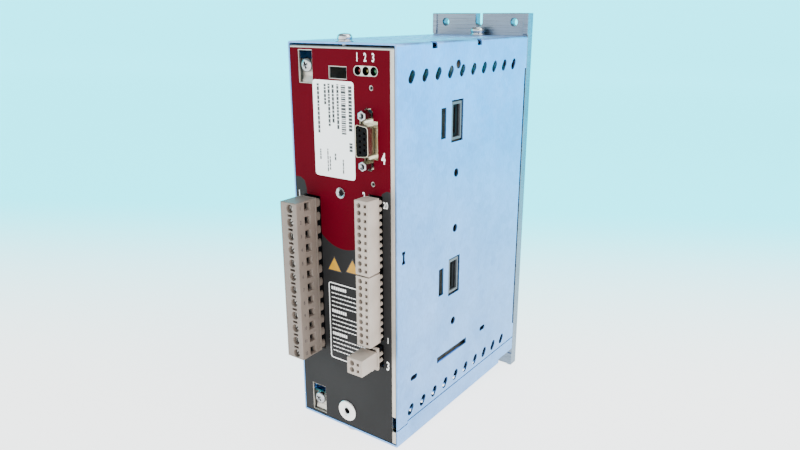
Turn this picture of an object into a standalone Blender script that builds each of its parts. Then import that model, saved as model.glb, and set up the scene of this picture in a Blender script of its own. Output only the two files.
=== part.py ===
"""Servo drive: a narrow sheet-steel controller on an aluminium cold plate, with pull-off terminal plugs."""

import math

import bmesh
import bpy
from mathutils import Matrix, Vector

# Frame: metres, +Z up, +X to the right of someone facing the drive, front panel towards -Y.
# The origin is the centre of the cold plate's rear face, where it meets the cabinet wall.
# Dimensions are in millimetres; up(), fore() and panel() place them in the frame.
MM = 0.001

WIDTH = 70.0                # housing and cold plate
HEIGHT = 218.0              # housing
DEPTH = 138.5               # housing, from its rear edge to the panel's face
PLATE_THICK = 6.5
PLATE_HEIGHT = 241.0
PLATE_BELOW = 9.5           # cold plate below the housing's bottom
HOLE_SPACING_X = 50.0
HOLE_SPACING_Z = 230.0
HOLE_DIA = 4.8
NOTCH_WIDTH = 5.1
SHEET = 1.0
GAP = 0.3                   # between touching pieces
FILM_GAP = 0.05
FILM_THICK = 0.25
LABEL_THICK = 0.12
PANEL_THICK = 1.2
TRAY_THICK = 1.2

HOOD_LOW = 11.2             # hood's lower edge beside the panel
HOOD_STEP = (129.3, 13.0)   # behind this distance the edge is a little higher
HOOD_RELIEF = (2.0, 23.5, 198.5)                # step in the rear edge: depth, from, to
TOP_NOTCHES = ((108.0, 103.2), (62.5, 57.8))
TOP_NOTCH_DROP = 3.4
TRAY_HIGH = 12.3
TRAY_STEP = (129.0, 10.6)
TRAY_LIFT = (20.2, 3.6)     # behind this distance the bottom is this much higher
SIDE_HOLES = (205.6, 146.6, 114.3, 56.6)
SIDE_HOLE_RADIUS = 2.4
SCREW_CLEARANCE = 2.2

VENT_LENGTH = 7.1
VENT_WIDTH = 4.2
VENT_LEAN = 55.0            # lean of the vent slots, degrees
VENT_PITCH = 12.0
VENT_COUNT = 10
VENT_FIRST = 126.0          # distance of the foremost vent from the rear edge
VENT_ROWS_UP = (18.5, 202.0)
VENT_COLUMNS_X = (-21.0, -7.0, 7.0, 21.0)

POWER_POLES = 12
POWER_PITCH = 7.62
POWER_TOP = 133.8           # height of the uppermost clamp screw
POWER_ENDS = 3.2            # plug beyond its outer screws
POWER_X = (-27.7, -16.0)
POWER_SCREW_X = -20.8
POWER_REACH = 19.0          # plug in front of the panel
POWER_RIM = 4.1             # header in front of the panel

SIGNAL_POLES = 10
SIGNAL_PITCH = 3.81
SIGNAL_TOPS = {"upper": 140.6, "lower": 100.5}
SIGNAL_ENDS = 2.55
SIGNAL_X = (17.3, 26.1)
SIGNAL_SCREW_X = 20.15
SIGNAL_REACH = 12.1
SIGNAL_RIM = 3.6

RELAY_POLES = 2
RELAY_TOP = 56.1
RELAY_ENDS = 2.8
RELAY_X = (15.4, 25.5)
RELAY_SCREW_X = 18.7
RELAY_REACH = 18.5
RELAY_RIM = 5.2

DSUB_X = 17.85
DSUB_UP = 171.2
DSUB_SCREW_HALF = 12.5
DSUB_REACH = 6.0
DSUB_FLANGE_BEHIND = 1.8
DSUB_ROWS = ((-1.42, 5), (1.42, 4))
DSUB_PITCH = 2.77
LED_X = (11.4, 16.4, 21.3)
LED_UP = 204.7
EARTH_X = -0.7
EARTH_UP = 11.3
TOP_SCREW_FORE = 134.0
REAR_SCREW_X = 3.0
REAR_SCREW_FORE = 6.5
PANEL_SCREWS = {"upper": (-23.5, 206.0), "lower": (-23.3, 11.0)}
WINDOWS = {"upper": (-27.6, -18.5, 197.3, 213.5), "lower": (-27.4, -17.6, 3.4, 20.6)}
OPTION_UP = {"upper": 175.6, "lower": 85.4}
OPTION_FORE = 82.3
CARD_SLOT = (-7.0, 4.2, 200.4, 206.0)
POWER_PORT = (-27.7, -15.8, 46.4, 137.4)
SIGNAL_PORT = (17.2, 26.2, 63.3, 143.5)
RELAY_PORT = (16.8, 26.0, 47.3, 61.1)
TOOL_HOLES = ((19.7, 196.8), (20.1, 148.9))
NUT_HOLE = (-1.4, 141.3)
EDGE_NOTCH_UP = (9.4, 18.6)

FINISHES = {
    "steel": ((0.62, 0.66, 0.70), 0.38, 1.0),
    "aluminium": ((0.70, 0.70, 0.72), 0.35, 1.0),
    "film": ((0.33, 0.01, 0.03), 0.45, 0.0),
    "label": ((0.86, 0.87, 0.88), 0.5, 0.0),
    "zinc": ((0.75, 0.76, 0.76), 0.3, 1.0),
    "beige": ((0.62, 0.57, 0.53), 0.55, 0.0),
    "ivory": ((0.72, 0.70, 0.66), 0.5, 0.0),
    "black": ((0.02, 0.02, 0.022), 0.5, 0.0),
    "grey": ((0.25, 0.26, 0.27), 0.5, 0.0),
    "white": ((0.80, 0.78, 0.76), 0.5, 0.0),
    "red_lens": ((0.30, 0.02, 0.02), 0.25, 0.0),
    "yellow_lens": ((0.45, 0.32, 0.05), 0.25, 0.0),
    "green_lens": ((0.05, 0.25, 0.08), 0.25, 0.0),
    "chromate": ((0.55, 0.50, 0.34), 0.3, 1.0),
    "board": ((0.03, 0.20, 0.09), 0.5, 0.0),
    "sleeve": ((0.05, 0.06, 0.14), 0.4, 0.0),
    "copper": ((0.50, 0.22, 0.10), 0.4, 1.0),
    "ferrite": ((0.10, 0.10, 0.11), 0.7, 0.0),
}


def up(height):
    """Z of a height above the housing's bottom."""
    return height + PLATE_BELOW - PLATE_HEIGHT / 2


def fore(distance):
    """Y of a distance in front of the housing's rear edge."""
    return -PLATE_THICK - distance


def panel(reach):
    """Y of a distance in front of the panel's face."""
    return fore(DEPTH + reach)


def finish(name):
    """The material of a finish, made once."""
    made = bpy.data.materials.get(name)
    if made is None:
        colour, roughness, metallic = FINISHES[name]
        made = bpy.data.materials.new(name)
        made.use_nodes = True
        shader = made.node_tree.nodes["Principled BSDF"]
        shader.inputs["Base Color"].default_value = (*colour, 1.0)
        shader.inputs["Roughness"].default_value = roughness
        shader.inputs["Metallic"].default_value = metallic
    return made


def place(bm, name, finish_name=None, origin=(0, 0, 0), smooth=False):
    """Turn a bmesh in millimetres into an object whose origin is at the given point."""
    for vert in bm.verts:
        vert.co = (vert.co - Vector(origin)) * MM
    bmesh.ops.recalc_face_normals(bm, faces=bm.faces)
    mesh = bpy.data.meshes.new(name)
    bm.to_mesh(mesh)
    bm.free()
    if smooth:
        mesh.shade_smooth()
        mesh.set_sharp_from_angle(angle=math.radians(35))
    item = bpy.data.objects.new(name, mesh)
    item.location = Vector(origin) * MM
    bpy.context.collection.objects.link(item)
    if finish_name:
        mesh.materials.append(finish(finish_name))
    return item


def add_box(bm, x, y, z):
    """Add a box between pairs of limits."""
    size = Vector((x[1] - x[0], y[1] - y[0], z[1] - z[0]))
    middle = Vector((x[0] + x[1], y[0] + y[1], z[0] + z[1])) / 2
    matrix = Matrix.Translation(middle) @ Matrix.Diagonal((*size, 1.0))
    bmesh.ops.create_cube(bm, size=1.0, matrix=matrix)


def add_round(bm, centre, radius, length, axis="Y", sides=12, tip=None):
    """Add a cylinder or cone centred on a point, along X, Y or Z."""
    turn = {"X": Matrix.Rotation(math.pi / 2, 4, "Y"), "Y": Matrix.Rotation(math.pi / 2, 4, "X")}
    matrix = Matrix.Translation(Vector(centre)) @ turn.get(axis, Matrix.Identity(4))
    far = radius if tip is None else tip
    bmesh.ops.create_cone(bm, cap_ends=True, segments=sides, radius1=radius, radius2=far,
                          depth=length, matrix=matrix)


def add_slot(bm, centre, length, width, lean, axis, depth, arc=3):
    """Add a round-ended bar, the cutter of a slot; it leans from the first in-plane axis."""
    outline = []
    half = length / 2 - width / 2
    for end in (1, -1):
        for step in range(arc + 1):
            angle = -math.pi / 2 + math.pi * step / arc
            outline.append((end * (half + math.cos(angle) * width / 2), end * math.sin(angle) * width / 2))
    cos, sin = math.cos(math.radians(lean)), math.sin(math.radians(lean))
    points = [(u * cos - v * sin, u * sin + v * cos) for u, v in outline]
    across = {"X": lambda u, v: (0, u, v), "Y": lambda u, v: (u, 0, v), "Z": lambda u, v: (u, v, 0)}[axis]
    along = Vector({"X": (1, 0, 0), "Y": (0, 1, 0), "Z": (0, 0, 1)}[axis]) * depth
    start = Vector(centre) - along / 2
    face = bm.faces.new([bm.verts.new(start + Vector(across(u, v))) for u, v in points])
    swept = bmesh.ops.extrude_face_region(bm, geom=[face])
    bmesh.ops.translate(bm, vec=along, verts=[v for v in swept["geom"] if isinstance(v, bmesh.types.BMVert)])


def add_prism(bm, outline, axis, low, high):
    """Add a prism of an outline in the plane across an axis."""
    across = {"X": lambda u, v, w: (w, u, v), "Y": lambda u, v, w: (u, w, v),
              "Z": lambda u, v, w: (u, v, w)}[axis]
    face = bm.faces.new([bm.verts.new(across(u, v, low)) for u, v in outline])
    swept = bmesh.ops.extrude_face_region(bm, geom=[face])
    along = Vector(across(0, 0, high - low))
    bmesh.ops.translate(bm, vec=along, verts=[v for v in swept["geom"] if isinstance(v, bmesh.types.BMVert)])


def boxed(name, finish_name, x, y, z, origin=(0, 0, 0)):
    """A box as its own object."""
    bm = bmesh.new()
    add_box(bm, x, y, z)
    return place(bm, name, finish_name, origin)


def change(item, bm, name, operation):
    """Cut a bmesh out of an object, or join it on; its bodies must not overlap each other."""
    tool = place(bm, f"{item.name}_{name}")
    tool.hide_render = True
    tool.display_type = "WIRE"
    step = item.modifiers.new(name, "BOOLEAN")
    step.operation = operation
    step.object = tool
    step.solver = "EXACT"
    return item


def cut(item, bm, name="cut"):
    return change(item, bm, name, "DIFFERENCE")


def join(item, bm, name="join"):
    return change(item, bm, name, "UNION")


def carry(parent, child):
    """Let a piece ride on another without moving it."""
    child.parent = parent
    child.matrix_parent_inverse = Matrix.Translation(parent.location).inverted()


def cold_plate():
    half = WIDTH / 2
    low, high = up(-PLATE_BELOW), up(PLATE_HEIGHT - PLATE_BELOW)
    plate = boxed("mounting_plate", "aluminium", (-half, half), (-PLATE_THICK, 0), (low, high))
    ribs = bmesh.new()
    for x in ((-half, -half + 3.2), (half - 3.2, half)):
        for z in ((low, up(-0.6)), (up(HEIGHT + 0.6), high)):
            add_box(ribs, x, (-PLATE_THICK - 0.8, -PLATE_THICK + 1.0), z)
    join(plate, ribs, "ribs")
    holes = bmesh.new()
    for x in (-HOLE_SPACING_X / 2, HOLE_SPACING_X / 2):
        for z in (-HOLE_SPACING_Z / 2, HOLE_SPACING_Z / 2):
            add_round(holes, (x, -PLATE_THICK / 2, z), HOLE_DIA / 2, PLATE_THICK + 4, sides=20)
    for z, open_z in ((HOLE_SPACING_Z / 2, high + 5), (-HOLE_SPACING_Z / 2, low - 5)):
        middle = (z + open_z) / 2 - math.copysign(NOTCH_WIDTH / 4, z)
        length = abs(open_z - z) + NOTCH_WIDTH / 2
        add_slot(holes, (0, -PLATE_THICK / 2, middle), length, NOTCH_WIDTH, 90, "Y", PLATE_THICK + 4, arc=8)
    return cut(plate, holes, "holes")


def add_vent_rows(bm, x):
    """Two rows of leaning slots through a side wall at x."""
    for height in VENT_ROWS_UP:
        for step in range(VENT_COUNT):
            y = fore(VENT_FIRST - VENT_PITCH * step)
            add_slot(bm, (x, y, up(height)), VENT_LENGTH, VENT_WIDTH, VENT_LEAN, "X", 4 * SHEET)


def add_vent_columns(bm, z, first, count):
    """Leaning slots through the top or bottom, in columns along the housing's depth."""
    for x in VENT_COLUMNS_X:
        for step in range(count):
            y = fore(first - VENT_PITCH * step)
            add_slot(bm, (x, y, z), VENT_LENGTH, VENT_WIDTH, VENT_LEAN, "Z", 4 * SHEET)


def hood():
    """Top and both sides, one folded sheet; its lower edge drops a little behind the panel."""
    half, inner = WIDTH / 2, WIDTH / 2 - SHEET
    low, top = up(HOOD_LOW), up(HEIGHT)
    section = [(-half, low), (-inner, low), (-inner, top - SHEET), (inner, top - SHEET),
               (inner, low), (half, low), (half, top), (-half, top)]
    bm = bmesh.new()
    add_prism(bm, section, "Y", panel(0), fore(GAP))
    item = place(bm, "hood", "steel")

    edges = bmesh.new()
    for x in ((-half - 2, -inner + 1), (inner - 1, half + 2)):
        add_box(edges, x, (fore(HOOD_STEP[0]), fore(-3)), (low - 3, up(HOOD_STEP[1])))
        add_box(edges, x, (fore(HOOD_RELIEF[0]), fore(-2)), (up(HOOD_RELIEF[1]), up(HOOD_RELIEF[2])))
    for low_y, high_y in TOP_NOTCHES:
        add_box(edges, (half - 4.5, half + 2), (fore(low_y), fore(high_y)),
                (up(HEIGHT - TOP_NOTCH_DROP), up(HEIGHT + 2)))
    cut(item, edges, "edges")

    vents = bmesh.new()
    add_vent_rows(vents, half - SHEET / 2)
    add_vent_rows(vents, -half + SHEET / 2)
    add_vent_columns(vents, up(HEIGHT - SHEET / 2), VENT_FIRST - VENT_PITCH, VENT_COUNT - 2)
    cut(item, vents, "vents")

    ports = bmesh.new()
    mid = half - SHEET / 2
    for height in OPTION_UP.values():
        add_box(ports, (mid - 2, mid + 2), (fore(88.4), fore(76.2)), (up(height - 11.4), up(height + 11.4)))
        add_box(ports, (mid - 2, mid + 2), (fore(98.7), fore(93.8)), (up(height - 8.2), up(height + 8.2)))
    for height in SIDE_HOLES:
        add_round(ports, (mid, fore(OPTION_FORE), up(height)), SIDE_HOLE_RADIUS, 4, "X", 12)
    add_box(ports, (mid - 2, mid + 2), (fore(133.8), fore(132.2)), (up(107.2), up(114.3)))
    for distance in (123.0, 45.7):
        add_slot(ports, (mid, fore(distance), up(37.5)), 6.6, 3.0, 0, "X", 4)
    add_box(ports, (mid - 2, mid + 2), (fore(99.3), fore(66.0)), (up(35.2), up(39.0)))
    for x, distance in ((0, TOP_SCREW_FORE), (REAR_SCREW_X, REAR_SCREW_FORE)):
        add_round(ports, (x, fore(distance), up(HEIGHT - SHEET / 2)), SCREW_CLEARANCE, 4, "Z", 12)
    return cut(item, ports, "ports")


def chassis_tray():
    """Bottom sheet with a lip up each side, stepped up at the back to clear the plate's screws."""
    half = WIDTH / 2
    bm = bmesh.new()
    add_box(bm, (-half, half), (panel(0), fore(GAP)), (up(0), up(TRAY_HIGH)))
    item = place(bm, "chassis_tray", "steel")
    hollow = bmesh.new()
    wall = TRAY_THICK
    lift_fore, lift = TRAY_LIFT
    riser = fore(lift_fore + wall)
    section = [(panel(2), up(wall)), (riser, up(wall)), (riser, up(lift + wall)),
               (fore(-3), up(lift + wall)), (fore(-3), up(20)), (panel(2), up(20))]
    add_prism(hollow, section, "X", -half + SHEET, half - SHEET)
    add_box(hollow, (-half - 2, half + 2), (fore(lift_fore), fore(-3)), (up(-3), up(lift)))
    cut(item, hollow, "hollow")
    steps = bmesh.new()
    for x in ((-half - 1, -half + SHEET + 1), (half - SHEET - 1, half + 1)):
        add_box(steps, x, (panel(2), fore(TRAY_STEP[0])), (up(TRAY_STEP[1]), up(20)))
    cut(item, steps, "steps")
    holes = bmesh.new()
    add_vent_columns(holes, up(wall / 2), VENT_FIRST - 2 * VENT_PITCH, VENT_COUNT - 3)
    add_round(holes, (0, fore(TOP_SCREW_FORE), up(wall / 2)), SCREW_CLEARANCE, 4, "Z", 12)
    return cut(item, holes, "holes")


def front_panel():
    """Face sheet with a return flange at the top and bottom, and the openings for what it shows."""
    edge = WIDTH / 2 - SHEET - 0.4
    low, high = up(TRAY_THICK + 0.4), up(HEIGHT - 2 * SHEET)
    back = panel(-PANEL_THICK)
    section = [(panel(0), low), (panel(0), high), (fore(127), high), (fore(127), high - SHEET),
               (back, high - SHEET), (back, low + SHEET), (fore(127), low + SHEET), (fore(127), low)]
    bm = bmesh.new()
    add_prism(bm, section, "X", -edge, edge)
    item = place(bm, "front_panel", "steel")

    holes = bmesh.new()
    through = (panel(2), panel(-3))
    for x_low, x_high, z_low, z_high in (*WINDOWS.values(), CARD_SLOT, POWER_PORT, SIGNAL_PORT, RELAY_PORT):
        add_box(holes, (x_low, x_high), through, (up(z_low), up(z_high)))
    add_slot(holes, ((LED_X[0] + LED_X[2]) / 2, panel(-0.5), up(LED_UP)), 15.6, 5.4, 0, "Y", 5, arc=6)
    for (x, height), radius in zip((*TOOL_HOLES, NUT_HOLE, (EARTH_X, EARTH_UP)), (0.9, 0.9, 1.6, 3.3)):
        add_round(holes, (x, panel(-0.5), up(height)), radius, 5, "Y", 12)
    for x in ((-edge - 2, -31.0), (31.0, edge + 2)):
        add_box(holes, x, through, (up(EDGE_NOTCH_UP[0]), up(EDGE_NOTCH_UP[1])))
    for z in (high, low):
        add_round(holes, (0, fore(TOP_SCREW_FORE), z), 2.1, 4, "Z", 12)
    cut(item, holes, "holes")
    return cut(item, dsub_opening(through), "dsub")


def dsub_opening(y):
    """Cut-out of the serial socket: a rectangle with a blunt lobe for each jack screw."""
    x_low, x_high = DSUB_X - 5.9, DSUB_X + 5.8
    lobe, tip, reach = 3.0, 1.5, DSUB_SCREW_HALF + 3.2
    outline = []
    for sign in (-1, 1):
        ring = [(x_high, 9.6), (DSUB_X + lobe, 9.6), (DSUB_X + lobe, reach - 1.4), (DSUB_X + tip, reach),
                (DSUB_X - tip, reach), (DSUB_X - lobe, reach - 1.4), (DSUB_X - lobe, 9.6), (x_low, 9.6)]
        points = [(x, up(DSUB_UP + sign * z)) for x, z in ring]
        outline += points if sign > 0 else points[::-1]
    bm = bmesh.new()
    add_prism(bm, outline, "Y", *y)
    return bm


def panel_overlay():
    """Printed film on the face, cut out round everything that comes through it."""
    front, back = panel(FILM_GAP + FILM_THICK), panel(FILM_GAP)
    item = boxed("panel_overlay", "film", (-33.4, 31.1), (front, back), (up(2.2), up(214.8)))
    holes = bmesh.new()
    through = (panel(2), panel(-2))
    for x_low, x_high, z_low, z_high in (*WINDOWS.values(), CARD_SLOT, POWER_PORT, SIGNAL_PORT, RELAY_PORT):
        add_box(holes, (x_low - GAP, x_high + GAP), through, (up(z_low - GAP), up(z_high + GAP)))
    add_slot(holes, ((LED_X[0] + LED_X[2]) / 2, panel(0), up(LED_UP)), 16.0, 5.8, 0, "Y", 4, arc=6)
    for (x, height), radius in zip((*TOOL_HOLES, NUT_HOLE, (EARTH_X, EARTH_UP)), (1.3, 1.3, 1.6, 3.6)):
        add_round(holes, (x, panel(0), up(height)), radius, 4, "Y", 12)
    cut(item, holes, "holes")
    return cut(item, dsub_opening(through), "dsub")


def rating_label():
    back = FILM_GAP * 2 + FILM_THICK
    y = (panel(back + LABEL_THICK), panel(back))
    x, z = (-18.2, 9.0), (up(149.2), up(199.2))
    corner = 1.6
    outline = []
    for cx, cz, start in ((x[1], z[1], 0), (x[0], z[1], 90), (x[0], z[0], 180), (x[1], z[0], 270)):
        for step in (0, 45, 90):
            angle = math.radians(start + step)
            inset_x = cx - math.copysign(corner, cx - sum(x) / 2)
            inset_z = cz - math.copysign(corner, cz - sum(z) / 2)
            outline.append((inset_x + corner * math.cos(angle), inset_z + corner * math.sin(angle)))
    bm = bmesh.new()
    add_prism(bm, outline, "Y", *y)
    return place(bm, "rating_label", "label")


def pan_screw(name, finish_name, base, axis, head, shank):
    """Cross-recess pan-head screw; base is under the head's centre, axis points out of the head."""
    radius, height = head
    shank_radius, length = shank
    bm = bmesh.new()
    add_round(bm, (0, 0, height * 0.3), radius, height * 0.6, "Z", 16)
    item = place(bm, name, finish_name, smooth=True)
    dome = bmesh.new()
    add_round(dome, (0, 0, height * 0.75 - 0.05), radius, height * 0.5, "Z", 16, tip=radius * 0.55)
    join(item, dome, "dome")
    stem = bmesh.new()
    add_round(stem, (0, 0, 0.2 - length / 2), shank_radius, length + 0.4, "Z", 10)
    join(item, stem, "stem")
    cross = bmesh.new()
    half, arm = radius * 0.12, radius * 0.5
    ring = [(arm, -half), (arm, half), (half, half), (half, arm), (-half, arm), (-half, half),
            (-arm, half), (-arm, -half), (-half, -half), (-half, -arm), (half, -arm), (half, -half)]
    add_prism(cross, ring, "Z", height * 0.45, height + 1)
    cut(item, cross, "recess")
    turn = Vector((0, 0, 1)).rotation_difference(Vector(axis))
    for piece in (item, *[step.object for step in item.modifiers]):
        piece.rotation_mode = "QUATERNION"
        piece.rotation_quaternion = turn
        piece.location = Vector(base) * MM
    return item


def washer(name, centre, radius, hole, thick):
    bm = bmesh.new()
    add_round(bm, centre, radius, thick, "Z", 16)
    item = place(bm, name, "zinc", smooth=True)
    bore = bmesh.new()
    add_round(bore, centre, hole, thick + 2, "Z", 12)
    return cut(item, bore, "bore")


def housing_screws():
    top = up(HEIGHT)
    y = fore(TOP_SCREW_FORE)
    washer("top_front_washer", (0, y, top + 0.05 + 0.5), 4.6, 2.2, 1.0)
    pan_screw("top_front_screw", "zinc", (0, y, top + 1.1), (0, 0, 1), (3.8, 3.0), (1.7, 7.0))
    rear = (REAR_SCREW_X, fore(REAR_SCREW_FORE))
    washer("top_rear_washer", (*rear, top + 0.05 + 0.75), 4.9, 2.2, 1.5)
    pan_screw("top_rear_screw", "zinc", (*rear, top + 1.6), (0, 0, 1), (4.4, 3.6), (1.8, 6.5))
    pan_screw("bottom_screw", "zinc", (0, y, up(-0.05)), (0, 0, -1), (3.8, 2.6), (1.7, 6.0))


def fixing_brackets():
    """A tab behind each panel window, with its recessed screw."""
    face = panel(-2.7)
    for which, (x, height) in PANEL_SCREWS.items():
        x_low, x_high, z_low, z_high = WINDOWS[which]
        z_span = (max(z_low - 3, 3.4), z_high - 0.5) if which == "lower" else (z_low - 3, min(z_high, 212))
        tab = boxed(f"{which}_fixing_bracket", "steel", (x_low - 2, x_high + 2), (face, face + 1.5),
                    (up(z_span[0]), up(z_span[1])))
        bore = bmesh.new()
        add_round(bore, (x, face, up(height)), 1.9, 6, "Y", 12)
        cut(tab, bore, "bore")
        pan_screw(f"{which}_panel_screw", "zinc", (x, face - 0.05, up(height)), (0, -1, 0),
                  (3.8, 2.6), (1.5, 5.0))


def rear_bracket():
    """Angle on the cold plate that takes the rear cover screw."""
    x, y = REAR_SCREW_X, fore(REAR_SCREW_FORE)
    top = up(HEIGHT - SHEET) - GAP
    item = boxed("rear_bracket", "steel", (x - 8, x + 8), (y - 7, fore(GAP)), (top - 14, top))
    hollow = bmesh.new()
    add_box(hollow, (x - 10, x + 10), (y - 9, fore(GAP + 1.6)), (top - 16, top - 1.6))
    cut(item, hollow, "hollow")
    bore = bmesh.new()
    add_round(bore, (x, y, top), 2.1, 6, "Z", 12)
    return cut(item, bore, "bore")


def earth_bush():
    """Threaded earth bush: a broad collar on the film and a sleeve through the panel."""
    x, z = EARTH_X, up(EARTH_UP)
    bm = bmesh.new()
    add_round(bm, (x, panel(0.8), z), 6.2, 0.9, "Y", 24)
    item = place(bm, "earth_bush", "white", smooth=True)
    sleeve = bmesh.new()
    add_round(sleeve, (x, panel(-2.8), z), 3.0, 7.0, "Y", 16)
    join(item, sleeve, "sleeve")
    bore = bmesh.new()
    add_round(bore, (x, panel(-2), z), 1.9, 14, "Y", 12)
    return cut(item, bore, "bore")


def status_leds():
    mid = (LED_X[0] + LED_X[2]) / 2
    bm = bmesh.new()
    add_slot(bm, (mid, panel(-2.4), up(LED_UP)), 14.9, 4.7, 0, "Y", 4.4, arc=6)
    holder = place(bm, "led_holder", "grey", smooth=True)
    bores = bmesh.new()
    for x in LED_X:
        add_round(bores, (x, panel(-2.4), up(LED_UP)), 1.75, 8, "Y", 12)
    cut(holder, bores, "bores")
    for number, (x, lens) in enumerate(zip(LED_X, ("red_lens", "yellow_lens", "green_lens")), 1):
        body = bmesh.new()
        add_round(body, (x, panel(-3.2), up(LED_UP)), 1.5, 5.0, "Y", 12)
        led = place(body, f"status_led_{number}", lens, smooth=True)
        dome = bmesh.new()
        add_round(dome, (x, panel(-0.45), up(LED_UP)), 1.5, 0.7, "Y", 12, tip=0.75)
        join(led, dome, "dome")


def dsub_socket():
    """Nine-way socket: flanged metal shell, moulded insert and a jack screw at each end."""
    flange = panel(-DSUB_FLANGE_BEHIND)
    rim = panel(DSUB_REACH)
    low, high = up(DSUB_UP - 15.4), up(DSUB_UP + 15.4)
    shell = boxed("dsub_shell", "chromate", (DSUB_X - 6.2, DSUB_X + 6.2), (flange, flange + 0.5), (low, high))
    nose = bmesh.new()
    add_prism(nose, dsub_outline(3.95, 8.15, 0.7), "Y", rim, flange + 0.3)
    join(shell, nose, "nose")
    hollow = bmesh.new()
    add_prism(hollow, dsub_outline(3.5, 7.7, 0.65), "Y", rim - 2, flange + 4)
    for sign in (-1, 1):
        centre = (DSUB_X, flange, up(DSUB_UP + sign * DSUB_SCREW_HALF))
        add_round(hollow, centre, 1.7, 4, "Y", 10)
    cut(shell, hollow, "hollow")

    bm = bmesh.new()
    add_prism(bm, dsub_outline(3.2, 7.4, 0.6), "Y", rim + 0.4, flange + 8)
    insert = place(bm, "dsub_insert", "black")
    sockets = bmesh.new()
    for column, count in DSUB_ROWS:
        for step in range(count):
            height = up(DSUB_UP + DSUB_PITCH * (step - (count - 1) / 2))
            add_round(sockets, (DSUB_X + column, rim, height), 0.55, 8, "Y", 6)
    cut(insert, sockets, "sockets")

    for which, sign in (("upper", 1), ("lower", -1)):
        z = up(DSUB_UP + sign * DSUB_SCREW_HALF)
        bm = bmesh.new()
        add_round(bm, (DSUB_X, panel(2.2), z), 2.6, 7.4, "Y", 6)
        jack = place(bm, f"dsub_jack_{which}", "zinc")
        stem = bmesh.new()
        add_round(stem, (DSUB_X, panel(-4), z), 1.4, 8, "Y", 10)
        join(jack, stem, "stem")
        bore = bmesh.new()
        add_round(bore, (DSUB_X, panel(5), z), 1.3, 7, "Y", 10)
        cut(jack, bore, "bore")


def dsub_outline(half_x, half_z, slant):
    """D-shaped outline standing on end: full height on the left, shorter on the right."""
    blunt = 0.9
    points = [(-half_x, -half_z + blunt), (-half_x + blunt, -half_z), (half_x - blunt, -half_z + slant),
              (half_x, -half_z + slant + blunt)]
    points += [(x, -z) for x, z in points[::-1]]
    return [(DSUB_X + x, up(DSUB_UP + z)) for x, z in points]


def header(name, finish_name, x, z, rim, tooth, inside=10.0):
    """Open-fronted socket on a circuit board, with a row of keying ribs down both flanks."""
    item = boxed(name, finish_name, (x[0] + 0.3, x[1] - 0.3), (panel(rim), panel(-inside)), z)
    well = bmesh.new()
    add_box(well, (x[0] + 1.4, x[1] - 1.4), (panel(rim + 2), panel(-4.0)), (z[0] + 1.0, z[1] - 1.0))
    cut(item, well, "well")
    pitch, poles, first = tooth
    gaps = bmesh.new()
    for step in range(poles + 1):
        middle = first + pitch / 2 - pitch * step
        z_low, z_high = max(middle - pitch * 0.14, z[0] + 0.2), min(middle + pitch * 0.14, z[1] - 0.2)
        for side in ((x[0] - 1, x[0] + 0.9), (x[1] - 0.9, x[1] + 1)):
            add_box(gaps, side, (panel(3.0), panel(0.2)), (z_low, z_high))
    return cut(item, gaps, "teeth")


def plug(name, finish_name, x, z, reach, rim):
    """Pull-off plug: a block in front of its header and a tongue that fills the header's well."""
    origin = ((x[0] + x[1]) / 2, panel(reach), (z[0] + z[1]) / 2)
    item = boxed(name, finish_name, x, (panel(reach), panel(rim + GAP)), z, origin)
    tongue = bmesh.new()
    add_box(tongue, (x[0] + 1.7, x[1] - 1.7), (panel(rim + 2), panel(-3.6)), (z[0] + 1.4, z[1] - 1.4))
    return join(item, tongue, "tongue")


def power_terminals():
    """Twelve-way mains and motor terminal: wires enter on the right, screws face the front."""
    heights = [POWER_TOP - POWER_PITCH * step for step in range(POWER_POLES)]
    z = (up(heights[-1] - POWER_ENDS), up(heights[0] + POWER_ENDS))
    header("power_header", "beige", POWER_X, z, POWER_RIM, (POWER_PITCH, POWER_POLES, up(POWER_TOP)))
    block = plug("power_plug", "beige", POWER_X, z, POWER_REACH, POWER_RIM)
    wells, entries = bmesh.new(), bmesh.new()
    for height in heights:
        add_round(wells, (POWER_SCREW_X, panel(POWER_REACH - 2), up(height)), 2.25, 8, "Y", 12)
        add_box(entries, (POWER_X[1] - 5.0, POWER_X[1] + 2), (panel(12.3), panel(7.8)),
                (up(height - 2.0), up(height + 2.0)))
    for height in heights[:-1]:
        middle = height - POWER_PITCH / 2
        add_box(wells, (POWER_SCREW_X - 1.7, POWER_SCREW_X + 1.7),
                (panel(POWER_REACH + 2), panel(POWER_REACH - 4)), (up(middle - 0.6), up(middle + 0.6)))
    cut(block, wells, "wells")
    cut(block, entries, "entries")
    for number, height in enumerate(heights, 1):
        origin = (POWER_SCREW_X, panel(POWER_REACH - 4), up(height))
        name = f"power_clamp_screw_{number:02d}"
        carry(block, clamp_screw(name, origin, 1.9, POWER_REACH - 1.2, POWER_REACH - 5.7))


def clamp_screw(name, origin, radius, front, back):
    """Slotted clamp screw, turning about its own axis."""
    x, _, z = origin
    bm = bmesh.new()
    add_round(bm, (x, (panel(front) + panel(back)) / 2, z), radius, front - back, "Y", 12)
    item = place(bm, name, "zinc", origin, smooth=True)
    slot = bmesh.new()
    add_box(slot, (x - radius - 1, x + radius + 1), (panel(front + 1), panel(front - 0.9)),
            (z - 0.35, z + 0.35))
    return cut(item, slot, "slot")


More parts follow.
